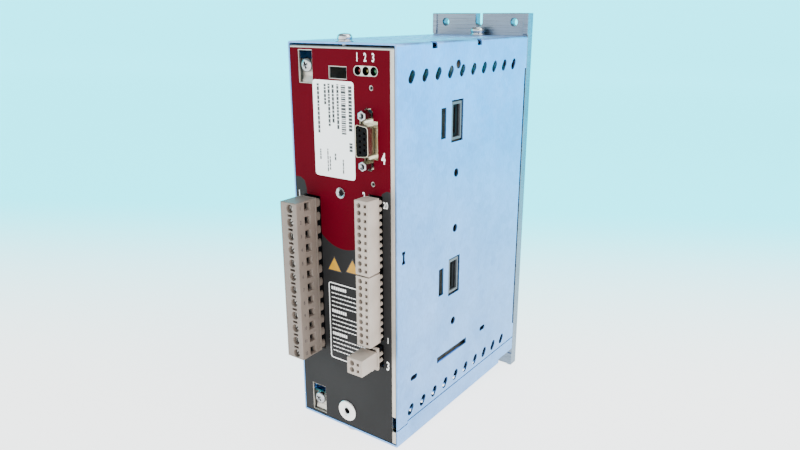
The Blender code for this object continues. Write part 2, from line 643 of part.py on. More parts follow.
def signal_terminals():
    """Two ten-way control plugs, one above the other: wires enter on the left."""
    for which, first in SIGNAL_TOPS.items():
        heights = [first - SIGNAL_PITCH * step for step in range(SIGNAL_POLES)]
        z = (up(heights[-1] - SIGNAL_ENDS), up(heights[0] + SIGNAL_ENDS))
        header(f"signal_header_{which}", "ivory", SIGNAL_X, z, SIGNAL_RIM,
               (SIGNAL_PITCH, SIGNAL_POLES, up(first)))
        block = plug(f"signal_plug_{which}", "ivory", SIGNAL_X, z, SIGNAL_REACH, SIGNAL_RIM)
        wells, entries, taps = bmesh.new(), bmesh.new(), bmesh.new()
        for height in heights:
            add_round(wells, (SIGNAL_SCREW_X, panel(SIGNAL_REACH - 0.5), up(height)), 1.3, 5.0, "Y", 8)
            add_box(entries, (SIGNAL_X[0] - 2, SIGNAL_X[0] + 1.0), (panel(6.9), panel(4.3)),
                    (up(height - 1.2), up(height + 1.2)))
            add_box(taps, (23.45, 24.75), (panel(SIGNAL_REACH + 2), panel(SIGNAL_REACH - 3)),
                    (up(height - 0.65), up(height + 0.65)))
        channel = bmesh.new()
        add_box(channel, (SIGNAL_SCREW_X - 1.4, SIGNAL_SCREW_X + 1.4),
                (panel(SIGNAL_REACH - 2.6), panel(SIGNAL_REACH - 4.6)),
                (up(heights[-1] - 1.4), up(heights[0] + 1.4)))
        cut(block, wells, "wells")
        cut(block, channel, "channel")
        cut(block, entries, "entries")
        cut(block, taps, "taps")
        carry(block, screw_row(which, heights, block.location / MM))


def screw_row(which, heights, origin):
    """The ten clamp screws of a control plug, tied together by a bar behind them."""
    y = panel(SIGNAL_REACH - 3.6)
    bar = boxed(f"signal_screws_{which}", "zinc", (SIGNAL_SCREW_X - 0.6, SIGNAL_SCREW_X + 0.6),
                (y - 0.6, y + 0.6), (up(heights[-1] - 0.7), up(heights[0] + 0.7)), origin)
    heads, slots = bmesh.new(), bmesh.new()
    for height in heights:
        add_round(heads, (SIGNAL_SCREW_X, y - 0.9, up(height)), 1.05, 2.4, "Y", 8)
        add_box(slots, (SIGNAL_SCREW_X - 2, SIGNAL_SCREW_X + 2), (y - 3, y - 1.5),
                (up(height - 0.22), up(height + 0.22)))
    join(bar, heads, "heads")
    return cut(bar, slots, "slots")


def relay_terminals():
    """Two-way relay contact plug."""
    heights = [RELAY_TOP - SIGNAL_PITCH * step for step in range(RELAY_POLES)]
    z = (up(heights[-1] - RELAY_ENDS), up(heights[0] + RELAY_ENDS))
    wide = (16.9, 25.9)
    header("relay_header", "ivory", wide, (z[0] - 1.8, z[1] + 1.8), RELAY_RIM,
           (SIGNAL_PITCH, RELAY_POLES, up(RELAY_TOP)))
    block = plug("relay_plug", "ivory", RELAY_X, z, RELAY_REACH, RELAY_RIM)
    relieve = bmesh.new()
    add_box(relieve, (RELAY_X[0] - 1, wide[0] + 1.7), (panel(RELAY_RIM + GAP), panel(-6)),
            (z[0] - 1, z[1] + 1))
    cut(block, relieve, "relief")
    wells, taps = bmesh.new(), bmesh.new()
    for height in heights:
        add_round(wells, (RELAY_SCREW_X, panel(RELAY_REACH - 1.5), up(height)), 1.5, 7.0, "Y", 10)
        add_box(taps, (22.0, 23.4), (panel(RELAY_REACH + 2), panel(RELAY_REACH - 3)),
                (up(height - 0.7), up(height + 0.7)))
        add_box(taps, (RELAY_X[0] - 2, RELAY_X[0] + 1.6), (panel(11.7), panel(8.9)),
                (up(height - 1.2), up(height + 1.2)))
    cut(block, wells, "wells")
    cut(block, taps, "taps")
    for number, height in enumerate(heights, 1):
        origin = (RELAY_SCREW_X, panel(RELAY_REACH - 4), up(height))
        name = f"relay_clamp_screw_{number}"
        carry(block, clamp_screw(name, origin, 1.2, RELAY_REACH - 1.4, RELAY_REACH - 4.7))


def boards():
    """Control board along the right wall, power board along the left wall."""
    boxed("control_board", "board", (29.9, 31.5), (fore(127.5), fore(24)), (up(32), up(207)))
    boxed("power_board", "board", (-31.5, -29.9), (fore(127.0), fore(8)), (up(14), up(207)))


def option_connectors():
    """Two sockets for plug-in modules, on the control board behind the side windows."""
    for which, height in OPTION_UP.items():
        item = boxed(f"option_connector_{which}", "grey", (31.8, 34.4), (fore(87.6), fore(77.0)),
                     (up(height - 10.4), up(height + 10.4)))
        slot = bmesh.new()
        add_box(slot, (32.9, 36), (fore(86.1), fore(78.5)), (up(height - 8.9), up(height + 8.9)))
        cut(item, slot, "slot")
        key = bmesh.new()
        add_box(key, (32.6, 34.0), (fore(82.9), fore(81.7)), (up(height - 7.0), up(height + 7.0)))
        join(item, key, "key")


def power_stage():
    """Power module on the cold plate, and the parts that stand on the power board."""
    module = boxed("power_module", "black", (-20, 20), (fore(GAP + 13), fore(0.1)), (up(70), up(150)))
    ears = bmesh.new()
    for z in (73.5, 146.5):
        add_round(ears, (0, fore(6), up(z)), 2.3, 20, "Y", 12)
    cut(module, ears, "ears")
    for number, height in enumerate((178.0, 148.0), 1):
        bm = bmesh.new()
        add_round(bm, (-8.0, fore(88), up(height)), 12.8, 43, "X", 20)
        place(bm, f"dc_link_capacitor_{number}", "sleeve", smooth=True)
    core = boxed("transformer", "ferrite", (-29.6, -3), (fore(104), fore(76)), (up(98), up(126)))
    coil = bmesh.new()
    add_box(coil, (-27.0, -5.5), (fore(108), fore(72)), (up(103), up(121)))
    join(core, coil, "coil")
    boxed("bypass_relay", "black", (-29.6, -14), (fore(104), fore(75)), (up(74), up(87)))
    choke()


def choke():
    """Ring-core mains choke lying against the power board."""
    bm = bmesh.new()
    ring = 12.0
    for step in range(6):
        angle = math.tau * step / 6
        bm.verts.new((ring + 5.0 * math.cos(angle), 0, 5.5 * math.sin(angle)))
    loop = [bm.edges.new((bm.verts[:][i], bm.verts[:][(i + 1) % 6])) for i in range(6)]
    bmesh.ops.spin(bm, geom=[*bm.verts[:], *loop], axis=(0, 0, 1), cent=(0, 0, 0), angle=math.tau, steps=18,
                   use_merge=True)
    turn = Matrix.Translation((-23.8, fore(88), up(44))) @ Matrix.Rotation(math.pi / 2, 4, "Y")
    bmesh.ops.transform(bm, matrix=turn, verts=bm.verts)
    bmesh.ops.remove_doubles(bm, verts=bm.verts, dist=0.01)
    return place(bm, "filter_choke", "copper", smooth=True)


def main():
    for old in list(bpy.data.objects):
        bpy.data.objects.remove(old, do_unlink=True)
    for build in (cold_plate, hood, chassis_tray, front_panel, panel_overlay, rating_label, housing_screws,
                  fixing_brackets, rear_bracket, earth_bush, status_leds, dsub_socket, power_terminals,
                  signal_terminals, relay_terminals, boards, option_connectors, power_stage):
        build()


main()
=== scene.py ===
import math
import random

import bmesh
import bpy
from mathutils import Matrix, Vector


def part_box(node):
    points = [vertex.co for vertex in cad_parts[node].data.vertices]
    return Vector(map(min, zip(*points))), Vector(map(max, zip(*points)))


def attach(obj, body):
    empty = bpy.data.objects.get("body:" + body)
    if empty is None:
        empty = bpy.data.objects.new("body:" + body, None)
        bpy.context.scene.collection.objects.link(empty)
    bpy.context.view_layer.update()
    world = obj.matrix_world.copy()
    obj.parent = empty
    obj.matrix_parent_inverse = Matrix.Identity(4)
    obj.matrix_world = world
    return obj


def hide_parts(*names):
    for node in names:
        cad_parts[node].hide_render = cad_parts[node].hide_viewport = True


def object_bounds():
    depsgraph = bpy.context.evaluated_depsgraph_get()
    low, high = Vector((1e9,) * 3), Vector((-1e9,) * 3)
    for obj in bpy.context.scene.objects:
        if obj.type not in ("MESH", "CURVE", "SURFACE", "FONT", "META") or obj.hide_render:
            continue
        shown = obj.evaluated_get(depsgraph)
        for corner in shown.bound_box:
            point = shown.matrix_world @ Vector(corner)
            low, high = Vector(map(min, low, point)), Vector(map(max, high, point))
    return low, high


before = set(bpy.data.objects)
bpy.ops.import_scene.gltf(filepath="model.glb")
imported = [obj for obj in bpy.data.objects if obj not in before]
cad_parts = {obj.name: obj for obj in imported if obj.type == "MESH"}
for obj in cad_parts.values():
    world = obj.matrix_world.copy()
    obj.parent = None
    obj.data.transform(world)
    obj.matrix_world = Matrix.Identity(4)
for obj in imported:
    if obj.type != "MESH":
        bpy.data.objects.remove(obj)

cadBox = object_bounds()
mm = 0.001


def span(node):  # a node's limits in x, y and z, in millimetres
    return [(low / mm, high / mm) for low, high in zip(*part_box(node))]


faceY = span("front_panel")[1][0]
rearY = span("hood")[1][1] + 0.3  # the hood stops just short of the cold plate
bottomZ = span("chassis_tray")[2][0]


def middles(node):
    return [sum(limits) / 2 for limits in span(node)]


def up(height):  # above the underside of the housing
    return bottomZ + height


def ahead(reach):  # in front of the panel's face
    return faceY - reach


def fore(distance):  # in front of the housing's rear edge
    return rearY - distance


# Finishes. Colours are linear; lengths such as cloud and grain are in millimetres.
finishes = {
    # the galvanised steel's strong blue tones are painted reflection of the cyan surroundings; the bare sheet
    # is grey
    "galvanised_steel": {"tones": ((0.12, 0.28, 0.55), (0.17, 0.34, 0.64)), "cloud": 34, "grain": 0.9,
                         "stretch": (1, 1, 0.3), "rough": (0.30, 0.42), "bump": 0.004, "metal": 0.9,
                         "spangle": 5.0, "speck": 0.10},
    "panel_steel": {"tones": ((0.40, 0.38, 0.34), (0.50, 0.47, 0.42)), "cloud": 30, "grain": 0.6,
                    "rough": (0.36, 0.48), "bump": 0.004, "metal": 0.9, "speck": 0.08},
    # the cold plate's dark blue tones are painted shade and painted reflection of the cyan surroundings; the
    # bare aluminium is lighter and grey
    "cold_plate_aluminium": {"tones": ((0.11, 0.14, 0.18), (0.16, 0.20, 0.25)), "cloud": 40, "grain": 1.1,
                             "stretch": (0.04, 1, 1.6), "rough": (0.22, 0.38), "bump": 0.015, "metal": 1.0,
                             "speck": 0.25},
    # the red and grey films' very dark tones are painted shade: the panel face's shade is put into their
    # colour
    "red_film": {"tones": ((0.068, 0.0006, 0.0045), (0.082, 0.0010, 0.0060)), "cloud": 45, "grain": 0.35,
                 "rough": (0.46, 0.56), "bump": 0.004, "speck": 0.06, "shine": 0.02},
    "grey_film": {"tones": ((0.0135, 0.0132, 0.0135), (0.0185, 0.0180, 0.0185)), "cloud": 40, "grain": 0.35,
                  "rough": (0.40, 0.50), "bump": 0.004, "speck": 0.06, "shine": 0.08},
    "white_print": {"tones": ((0.88, 0.86, 0.84), (0.94, 0.92, 0.90)), "cloud": 6,
                    "rough": (0.45, 0.6), "bump": 0.002, "speck": 0.05},
    "yellow_print": {"tones": ((0.42, 0.20, 0.0), (0.50, 0.25, 0.0)), "cloud": 6,
                     "rough": (0.45, 0.6), "bump": 0.002, "speck": 0.05},
    "dark_print": {"tones": ((0.012, 0.012, 0.013), (0.022, 0.022, 0.024)), "cloud": 6,
                   "rough": (0.5, 0.65), "bump": 0.001, "speck": 0.1},
    "label_paper": {"tones": ((0.86, 0.86, 0.86), (0.93, 0.93, 0.93)), "cloud": 25, "grain": 0.25,
                    "rough": (0.38, 0.50), "bump": 0.002, "metal": 0.1, "speck": 0.04},
    "zinc_hardware": {"tones": ((0.28, 0.29, 0.30), (0.44, 0.45, 0.46)), "cloud": 3, "grain": 0.15,
                      "rough": (0.10, 0.24), "bump": 0.003, "metal": 1.0, "speck": 0.12},
    "clamp_steel": {"tones": ((0.20, 0.19, 0.18), (0.30, 0.29, 0.27)), "cloud": 3, "grain": 0.15,
                    "rough": (0.25, 0.40), "bump": 0.003, "metal": 1.0, "speck": 0.15},
    # near-black finish for the fills inside the bush's bore and the nut's hole: painted shade for the
    # darkness deep inside them, not a real part
    "painted_bore_shade": {"tones": ((0.004, 0.004, 0.004), (0.008, 0.008, 0.008)), "cloud": 3,
                  "rough": (0.5, 0.65), "bump": 0.003, "speck": 0.1, "shine": 0.05},
    "chromate_shell": {"tones": ((0.50, 0.44, 0.30), (0.66, 0.62, 0.52)), "cloud": 5,
                       "rough": (0.18, 0.30), "bump": 0.002, "metal": 1.0, "speck": 0.10},
    "gold_contact": {"tones": ((0.28, 0.17, 0.07), (0.42, 0.27, 0.12)), "cloud": 2, "grain": 0.1,
                     "rough": (0.18, 0.28), "bump": 0.001, "metal": 1.0, "speck": 0.05},
    "warm_grey_plastic": {"tones": ((0.140, 0.108, 0.088), (0.178, 0.138, 0.114)), "cloud": 14, "grain": 0.22,
                          "rough": (0.46, 0.60), "bump": 0.010, "speck": 0.10},
    "ivory_plastic": {"tones": ((0.29, 0.235, 0.195), (0.35, 0.285, 0.24)), "cloud": 12, "grain": 0.22,
                      "rough": (0.42, 0.56), "bump": 0.008, "speck": 0.07},
    "black_plastic": {"tones": ((0.0025, 0.0025, 0.003), (0.005, 0.005, 0.0055)), "cloud": 8,
                      "rough": (0.42, 0.58), "bump": 0.008, "speck": 0.15, "shine": 0.03},
    "grey_plastic": {"tones": ((0.050, 0.055, 0.062), (0.075, 0.082, 0.090)), "cloud": 8,
                     "rough": (0.42, 0.56), "bump": 0.008, "speck": 0.10},
    "bush_nickel": {"tones": ((0.74, 0.70, 0.67), (0.82, 0.79, 0.76)), "cloud": 5,
                    "rough": (0.30, 0.42), "bump": 0.004, "metal": 0.5, "speck": 0.06},
    "red_lens": {"tones": ((0.16, 0.008, 0.006), (0.22, 0.012, 0.010)), "cloud": 1.5,
                 "rough": (0.12, 0.2), "bump": 0.002, "speck": 0.1, "clear": 0.4},
    "yellow_lens": {"tones": ((0.10, 0.075, 0.012), (0.15, 0.11, 0.018)), "cloud": 1.5,
                    "rough": (0.12, 0.2), "bump": 0.002, "speck": 0.1, "clear": 0.4},
    "green_lens": {"tones": ((0.02, 0.14, 0.06), (0.03, 0.19, 0.08)), "cloud": 1.5,
                   "rough": (0.12, 0.2), "bump": 0.002, "speck": 0.1, "clear": 0.4},
    "circuit_board": {"tones": ((0.060, 0.055, 0.040), (0.13, 0.11, 0.085)), "cloud": 7, "grain": 0.5,
                      "rough": (0.35, 0.55), "bump": 0.02, "speck": 0.35},
    "capacitor_sleeve": {"tones": ((0.035, 0.045, 0.12), (0.05, 0.06, 0.15)), "cloud": 14, "grain": 0.3,
                         "rough": (0.25, 0.38), "bump": 0.01, "speck": 0.08},
    "copper_winding": {"tones": ((0.34, 0.12, 0.05), (0.55, 0.24, 0.11)), "cloud": 3, "grain": 0.8,
                       "stretch": (6, 0.4, 0.4), "rough": (0.28, 0.45), "bump": 0.20, "metal": 0.8,
                       "speck": 0.3},
    "ferrite_core": {"tones": ((0.05, 0.05, 0.055), (0.09, 0.09, 0.095)), "cloud": 6, "grain": 0.4,
                     "rough": (0.6, 0.8), "bump": 0.03, "speck": 0.25},
}


def surface(name, look):  # clouds of two tones, fine grain in tone, gloss and relief, and spangle
    material = bpy.data.materials.new(name)
    material.use_nodes = True
    nodes, links = material.node_tree.nodes, material.node_tree.links
    shader = nodes["Principled BSDF"]
    shader.inputs["Metallic"].default_value = look.get("metal", 0.0)
    shader.inputs["Transmission Weight"].default_value = look.get("clear", 0.0)
    shader.inputs["Specular IOR Level"].default_value = look.get("shine", 0.5)
    coords = nodes.new("ShaderNodeTexCoord")

    def noise(scale, detail, stretch=(1, 1, 1)):
        scaled = nodes.new("ShaderNodeMapping")
        scaled.inputs["Scale"].default_value = [axis / (scale * mm) for axis in stretch]
        links.new(coords.outputs["Object"], scaled.inputs["Vector"])
        texture = nodes.new("ShaderNodeTexNoise")
        texture.inputs["Scale"].default_value = 1.0
        texture.inputs["Detail"].default_value = detail
        links.new(scaled.outputs["Vector"], texture.inputs["Vector"])
        return texture.outputs["Fac"]

    def spread(value, low, high, start=0.3, end=0.7):
        ranged = nodes.new("ShaderNodeMapRange")
        ranged.inputs["From Min"].default_value = start
        ranged.inputs["From Max"].default_value = end
        ranged.inputs["To Min"].default_value = low
        ranged.inputs["To Max"].default_value = high
        links.new(value, ranged.inputs["Value"])
        return ranged.outputs["Result"]

    def shaded(colour, factor):
        scaled = nodes.new("ShaderNodeVectorMath")
        scaled.operation = "SCALE"
        links.new(colour, scaled.inputs[0])
        links.new(factor, scaled.inputs["Scale"])
        return scaled.outputs["Vector"]

    tones = nodes.new("ShaderNodeValToRGB")
    for stop, tone in zip(tones.color_ramp.elements, look["tones"]):
        stop.color = (*tone, 1)
    tones.color_ramp.elements[0].position = 0.32
    tones.color_ramp.elements[1].position = 0.68
    links.new(noise(look["cloud"], 3), tones.inputs["Fac"])
    grain = noise(look.get("grain", 0.2), 2, look.get("stretch", (1, 1, 1)))
    speck = look["speck"]
    colour = shaded(tones.outputs["Color"], spread(grain, 1 - speck, 1 + speck))
    gloss = spread(grain, *look["rough"])
    if "spangle" in look:
        crystals = nodes.new("ShaderNodeTexVoronoi")
        crystals.inputs["Scale"].default_value = 1 / (look["spangle"] * mm)
        links.new(coords.outputs["Object"], crystals.inputs["Vector"])
        split = nodes.new("ShaderNodeSeparateColor")
        links.new(crystals.outputs["Color"], split.inputs["Color"])
        colour = shaded(colour, spread(split.outputs["Red"], 0.955, 1.045, 0, 1))
        added = nodes.new("ShaderNodeMath")
        added.operation = "ADD"
        links.new(gloss, added.inputs[0])
        links.new(spread(split.outputs["Green"], -0.03, 0.04, 0, 1), added.inputs[1])
        gloss = added.outputs["Value"]
    links.new(colour, shader.inputs["Base Color"])
    links.new(gloss, shader.inputs["Roughness"])
    relief = nodes.new("ShaderNodeBump")
    relief.inputs["Strength"].default_value = 1.0
    relief.inputs["Distance"].default_value = look["bump"] * mm
    links.new(grain, relief.inputs["Height"])
    links.new(relief.outputs["Normal"], shader.inputs["Normal"])
    return material


materials = {name: surface(name, look) for name, look in finishes.items()}
print("finishes:", len(materials))

# Shapes are built in millimetres; makePiece turns them into metres.
turns = {"X": Matrix.Rotation(math.pi / 2, 4, "Y"), "Y": Matrix.Rotation(math.pi / 2, 4, "X"),
         "Z": Matrix.Identity(4)}
slotTurns = {"X": turns["X"] @ Matrix.Rotation(math.pi / 2, 4, "Z"), "Y": turns["Y"], "Z": turns["Z"]}


def addBox(bm, x, y, z):
    size = [high - low for low, high in (x, y, z)]
    middle = Matrix.Translation([(low + high) / 2 for low, high in (x, y, z)])
    return bmesh.ops.create_cube(bm, size=1, matrix=middle @ Matrix.Diagonal((*size, 1)))["verts"]


def addRod(bm, centre, radius, length, axis="Y", sides=32, tip=None):  # the tip faces +X, -Y or +Z
    matrix = Matrix.Translation(centre) @ turns[axis]
    verts = bmesh.ops.create_cone(bm, cap_ends=True, segments=sides, radius1=radius, depth=length,
                                  radius2=radius if tip is None else tip, matrix=matrix)["verts"]
    for face in {face for vert in verts for face in vert.link_faces}:
        face.smooth = len(face.verts) == 4 and sides > 8
    return verts


def addSlot(bm, centre, length, width, lean, axis, depth, sides=20):  # a rod pulled apart into a bar
    verts = addRod(bm, (0, 0, 0), width / 2, depth, "Z", sides)
    bmesh.ops.rotate(bm, verts=verts, matrix=Matrix.Rotation(math.pi / sides, 3, "Z"))
    for vert in verts:
        vert.co.x += math.copysign((length - width) / 2, vert.co.x)
    place = Matrix.Translation(centre) @ slotTurns[axis] @ spun(lean)
    bmesh.ops.transform(bm, matrix=place, verts=verts)
    return verts


def addPrism(bm, outline, axis, low, high):
    across = {"X": lambda u, v, w: (w, u, v), "Y": lambda u, v, w: (u, w, v), "Z": lambda u, v, w: (u, v, w)}
    face = bm.faces.new([bm.verts.new(across[axis](u, v, low)) for u, v in outline])
    swept = bmesh.ops.extrude_face_region(bm, geom=[face])["geom"]
    verts = [item for item in swept if isinstance(item, bmesh.types.BMVert)]
    bmesh.ops.translate(bm, vec=across[axis](0, 0, high - low), verts=verts)


def addTurned(bm, outline, place, sides=32):  # outline of (radius, height) turned about Z, then placed
    verts = [bm.verts.new((radius, 0, height)) for radius, height in outline]
    edges = [bm.edges.new(pair) for pair in zip(verts, verts[1:])]
    if outline[0][0] > 0:
        edges.append(bm.edges.new((verts[-1], verts[0])))
    known = set(bm.faces)
    bmesh.ops.spin(bm, geom=verts + edges, axis=(0, 0, 1), cent=(0, 0, 0), angle=math.tau, steps=sides,
                   use_merge=True)
    made = [face for face in bm.faces if face not in known]
    corners = list({vert for face in made for vert in face.verts})
    for face in made:
        face.smooth = True
    bmesh.ops.transform(bm, matrix=place, verts=corners)
    bmesh.ops.remove_doubles(bm, verts=corners, dist=1e-4)


def tidied(bm):
    bmesh.ops.remove_doubles(bm, verts=bm.verts, dist=1e-4)
    bmesh.ops.recalc_face_normals(bm, faces=bm.faces)
    return bm


def carved(bm, cutter, operation="DIFFERENCE"):
    tools = []
    for part in (bm, cutter):
        mesh = bpy.data.meshes.new("shape")
        tidied(part).to_mesh(mesh)
        part.free()
        tools.append(bpy.data.objects.new("shape", mesh))
        bpy.context.scene.collection.objects.link(tools[-1])
    step = tools[0].modifiers.new("carve", "BOOLEAN")
    step.operation = operation
    step.object = tools[1]
    step.solver = "EXACT"
    result = bpy.data.meshes.new_from_object(tools[0].evaluated_get(bpy.context.evaluated_depsgraph_get()))
    fresh = bmesh.new()
    fresh.from_mesh(result)
    for mesh in [result, *[tool.data for tool in tools]]:
        bpy.data.meshes.remove(mesh)  # the two helper objects go with their meshes
    return fresh


def addPart(bm, part):  # moves one shape's faces into another, without a boolean
    mesh = bpy.data.meshes.new("part")
    part.to_mesh(mesh)
    part.free()
    bm.from_mesh(mesh)
    bpy.data.meshes.remove(mesh)


def spun(degrees):
    return Matrix.Rotation(math.radians(degrees), 4, "Z")


def rounded(bm, radius, segments=2, chosen=lambda edge: True, angle=40):
    bm.normal_update()
    edges = [edge for edge in bm.edges if len(edge.link_faces) == 2
             and edge.calc_face_angle(0) > math.radians(angle) and chosen(edge)]
    made = bmesh.ops.bevel(bm, geom=edges, offset=radius, segments=segments, profile=0.5, affect="EDGES",
                           material=-1, clamp_overlap=True)
    for face in made["faces"]:  # the new strips are smooth, the faces they border stay flat
        face.smooth = face.calc_area() < radius * face.calc_perimeter() * 0.3
    return bm


def makePiece(name, bm, finish, body="drive", stands=(), sharp=38):
    tidied(bm)
    mesh = bpy.data.meshes.new(name)
    bm.to_mesh(mesh)
    bm.free()
    mesh.transform(Matrix.Scale(mm, 4))
    smooth = [face.use_smooth for face in mesh.polygons]  # marking the sharp edges would lose these
    mesh.set_sharp_from_angle(angle=math.radians(sharp))
    mesh.polygons.foreach_set("use_smooth", smooth)
    mesh.materials.append(materials[finish])
    piece = bpy.data.objects.new(name, mesh)
    bpy.context.scene.collection.objects.link(piece)
    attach(piece, body)
    if stands:
        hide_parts(*stands)
    return piece


# Camera, light and floor.
cameraView = {"place": (0.227495, -0.410050, 0.120279), "right": (0.81201, 0.58364, -0.00195),
              "up": (-0.17065, 0.24061, 0.95551), "lens": 30.826}
studio = {"sky": (0.80, 0.92, 1.0), "skyStrength": 0.7, "near": (1.12, 1.11, 1.10), "far": (0.0, 1.15, 1.36),
          "glow": 2.6, "paper": 0.3, "fade": (0.36, 0.95),
          "bowl": ((0, 0), (5, 0), (5.6, 0.15), (6, 0.6), (6.1, 3)),
          "lights": (("key", (0.95, 0.05, 0.85), 0.9, 21.0, (1.0, 0.98, 0.95)),
                     ("side", (0.75, 0.75, 0.10), 0.6, 3.0, (0.10, 0.42, 1.0)),
                     ("top", (0.1, 0.2, 1.1), 0.9, 8.0, (0.85, 0.97, 1.0)))}


def makeCamera():
    right, upward = Vector(cameraView["right"]), Vector(cameraView["up"])
    back = right.cross(upward)
    camera = bpy.data.objects.new("camera", bpy.data.cameras.new("camera"))
    camera.data.lens = cameraView["lens"]
    camera.data.sensor_width = 36.0
    camera.data.clip_start = 0.01
    turned = Matrix((right, upward, back)).transposed().to_4x4()
    camera.matrix_world = Matrix.Translation(cameraView["place"]) @ turned
    bpy.context.scene.collection.objects.link(camera)
    bpy.context.scene.camera = camera


def floorPaper():  # white paper near the front, fading to pale cyan behind, glowing as in a light tent
    material = bpy.data.materials.new("floor")
    material.use_nodes = True
    nodes, links = material.node_tree.nodes, material.node_tree.links
    shader = nodes["Principled BSDF"]
    shader.inputs["Roughness"].default_value = 0.7
    shader.inputs["Specular IOR Level"].default_value = 0.2
    shader.inputs["Emission Strength"].default_value = studio["glow"]
    coords = nodes.new("ShaderNodeTexCoord")
    depth = nodes.new("ShaderNodeVectorMath")
    depth.operation = "DOT_PRODUCT"
    back = Vector(cameraView["right"]).cross(Vector(cameraView["up"]))
    away = Vector((-back.x, -back.y, 0)).normalized()
    depth.inputs[1].default_value = away
    links.new(coords.outputs["Object"], depth.inputs[0])
    fade = nodes.new("ShaderNodeMapRange")
    fade.interpolation_type = "SMOOTHSTEP"
    start = away.dot(Vector(cameraView["place"]))
    fade.inputs["From Min"].default_value = start + studio["fade"][0]
    fade.inputs["From Max"].default_value = start + studio["fade"][1]
    links.new(depth.outputs["Value"], fade.inputs["Value"])
    tones = nodes.new("ShaderNodeValToRGB")
    tones.color_ramp.elements[0].color = (*studio["near"], 1)
    tones.color_ramp.elements[1].color = (*studio["far"], 1)
    links.new(fade.outputs["Result"], tones.inputs["Fac"])
    links.new(tones.outputs["Color"], shader.inputs["Emission Color"])
    paper = nodes.new("ShaderNodeVectorMath")
    paper.operation = "SCALE"
    paper.inputs["Scale"].default_value = studio["paper"]
    links.new(tones.outputs["Color"], paper.inputs[0])
    links.new(paper.outputs["Vector"], shader.inputs["Base Color"])
    return material


def makeStudio():
    world = bpy.data.worlds.new("studio")
    world.use_nodes = True
    world.node_tree.nodes["Background"].inputs["Color"].default_value = (*studio["sky"], 1)
    world.node_tree.nodes["Background"].inputs["Strength"].default_value = studio["skyStrength"]
    bpy.context.scene.world = world
    middle = (cadBox[0] + cadBox[1]) / 2
    for name, place, size, power, colour in studio["lights"]:
        light = bpy.data.lights.new(name, "AREA")
        light.shape, light.size, light.energy, light.color = "SQUARE", size, power, colour
        lamp = bpy.data.objects.new(name, light)
        lamp.location = place
        lamp.rotation_mode = "QUATERNION"
        lamp.rotation_quaternion = (middle - Vector(place)).to_track_quat("-Z", "Y")
        bpy.context.scene.collection.objects.link(lamp)
    # the drive stands on the cold plate's lower edge and on the head of the screw under its front
    rear, front = span("mounting_plate"), span("bottom_screw")
    slope = math.atan2(front[2][0] - rear[2][0], rear[1][0] - front[1][0])
    bm = bmesh.new()
    verts = [bm.verts.new((radius, 0, height)) for radius, height in studio["bowl"]]
    edges = [bm.edges.new(pair) for pair in zip(verts, verts[1:])]
    bmesh.ops.spin(bm, geom=verts + edges, axis=(0, 0, 1), cent=(0, 0, 0), angle=math.tau, steps=64,
                   use_merge=True)
    bmesh.ops.remove_doubles(bm, verts=bm.verts, dist=0.001)
    for face in bm.faces:
        face.smooth = True
    mesh = bpy.data.meshes.new("floor")
    bm.to_mesh(mesh)
    bm.free()
    floor = bpy.data.objects.new("floor", mesh)
    floor.location = (0, rear[1][0] * mm, rear[2][0] * mm - 0.0002)
    floor.rotation_euler.x = -slope
    bpy.context.scene.collection.objects.link(floor)
    mesh.materials.append(floorPaper())


makeCamera()
makeStudio()
print("camera, light and floor")

# Cold plate: extruded aluminium with raised edge strips, holes at the corners and an open notch each end.
coldPlate = {"strip": 3.2, "ledge": 0.6, "holes": (25.0, 115.0), "hole": 2.4, "notch": 5.1, "cut": 20,
             "chamfer": 0.35}


def makeColdPlate():
    x, y, z = span("mounting_plate")
    front = fore(0)
    bm = bmesh.new()
    addBox(bm, x, (front, y[1]), z)
    strips = bmesh.new()
    ends = ((z[0], up(-coldPlate["ledge"])), (span("hood")[2][1] + coldPlate["ledge"], z[1]))
    for side in ((x[0], x[0] + coldPlate["strip"]), (x[1] - coldPlate["strip"], x[1])):
        for end in ends:
            addBox(strips, side, (y[0], front + 1), end)
    bm = carved(bm, strips, "UNION")
    holes = bmesh.new()
    acrossX, awayZ = coldPlate["holes"]
    thick = y[1] - y[0] + 2
    for sign in (-1, 1):
        for side in (-1, 1):
            addRod(holes, (side * acrossX, (y[0] + y[1]) / 2, sign * awayZ), coldPlate["hole"], thick)
        centre = (0, (y[0] + y[1]) / 2, sign * (awayZ + (coldPlate["cut"] - coldPlate["notch"]) / 2))
        addSlot(holes, centre, coldPlate["cut"], coldPlate["notch"], 90, "Y", thick, 32)
    bm = carved(bm, holes)
    makePiece("cold_plate", rounded(bm, coldPlate["chamfer"], 2), "cold_plate_aluminium",
              stands=["mounting_plate"])


makeColdPlate()

# Hood, tray and panel share the vents and the sheet's rounded folds.
vents = {"length": 7.1, "width": 4.2, "lean": 55, "pitch": 12, "first": 126, "rows": (18.5, 202),
         "perRow": 10, "columns": (-21, -7, 7, 21)}
hoodLook = {"sheet": 1.0, "fold": 1.5, "rim": 0.12, "seam": (11.2, 13.0), "seamStep": 129.3,
            "relief": (2.0, 23.5, 198.5), "notches": ((108.0, 103.2), (62.5, 57.8)),
            "windows": (175.6, 85.4), "window": (88.4, 76.2, 11.4), "hook": (98.7, 93.8, 8.2),
            "holes": (205.6, 146.6, 114.3, 56.6), "holeFore": 82.3, "hole": 2.4,
            "slit": (133.7, 132.0, 107.2, 114.3), "serif": (0.6, 1.7), "ovals": (123.0, 45.7), "ovalUp": 37.5,
            "oval": (6.6, 3.0), "lance": (99.3, 66.0, 35.2, 39.0), "tongue": (4.5, 0.8), "screwHole": 2.2}
screwSpots = {"front": (0, 134.0), "rear": (3.0, 6.5)}


def ventRow(bm, x, height):
    for step in range(vents["perRow"]):
        centre = (x, fore(vents["first"] - vents["pitch"] * step), up(height))
        addSlot(bm, centre, vents["length"], vents["width"], vents["lean"], "X", 5)


def ventColumns(bm, z, first, count):
    for x in vents["columns"]:
        for step in range(count):
            centre = (x, fore(first - vents["pitch"] * step), z)
            addSlot(bm, centre, vents["length"], vents["width"], vents["lean"], "Z", 5)


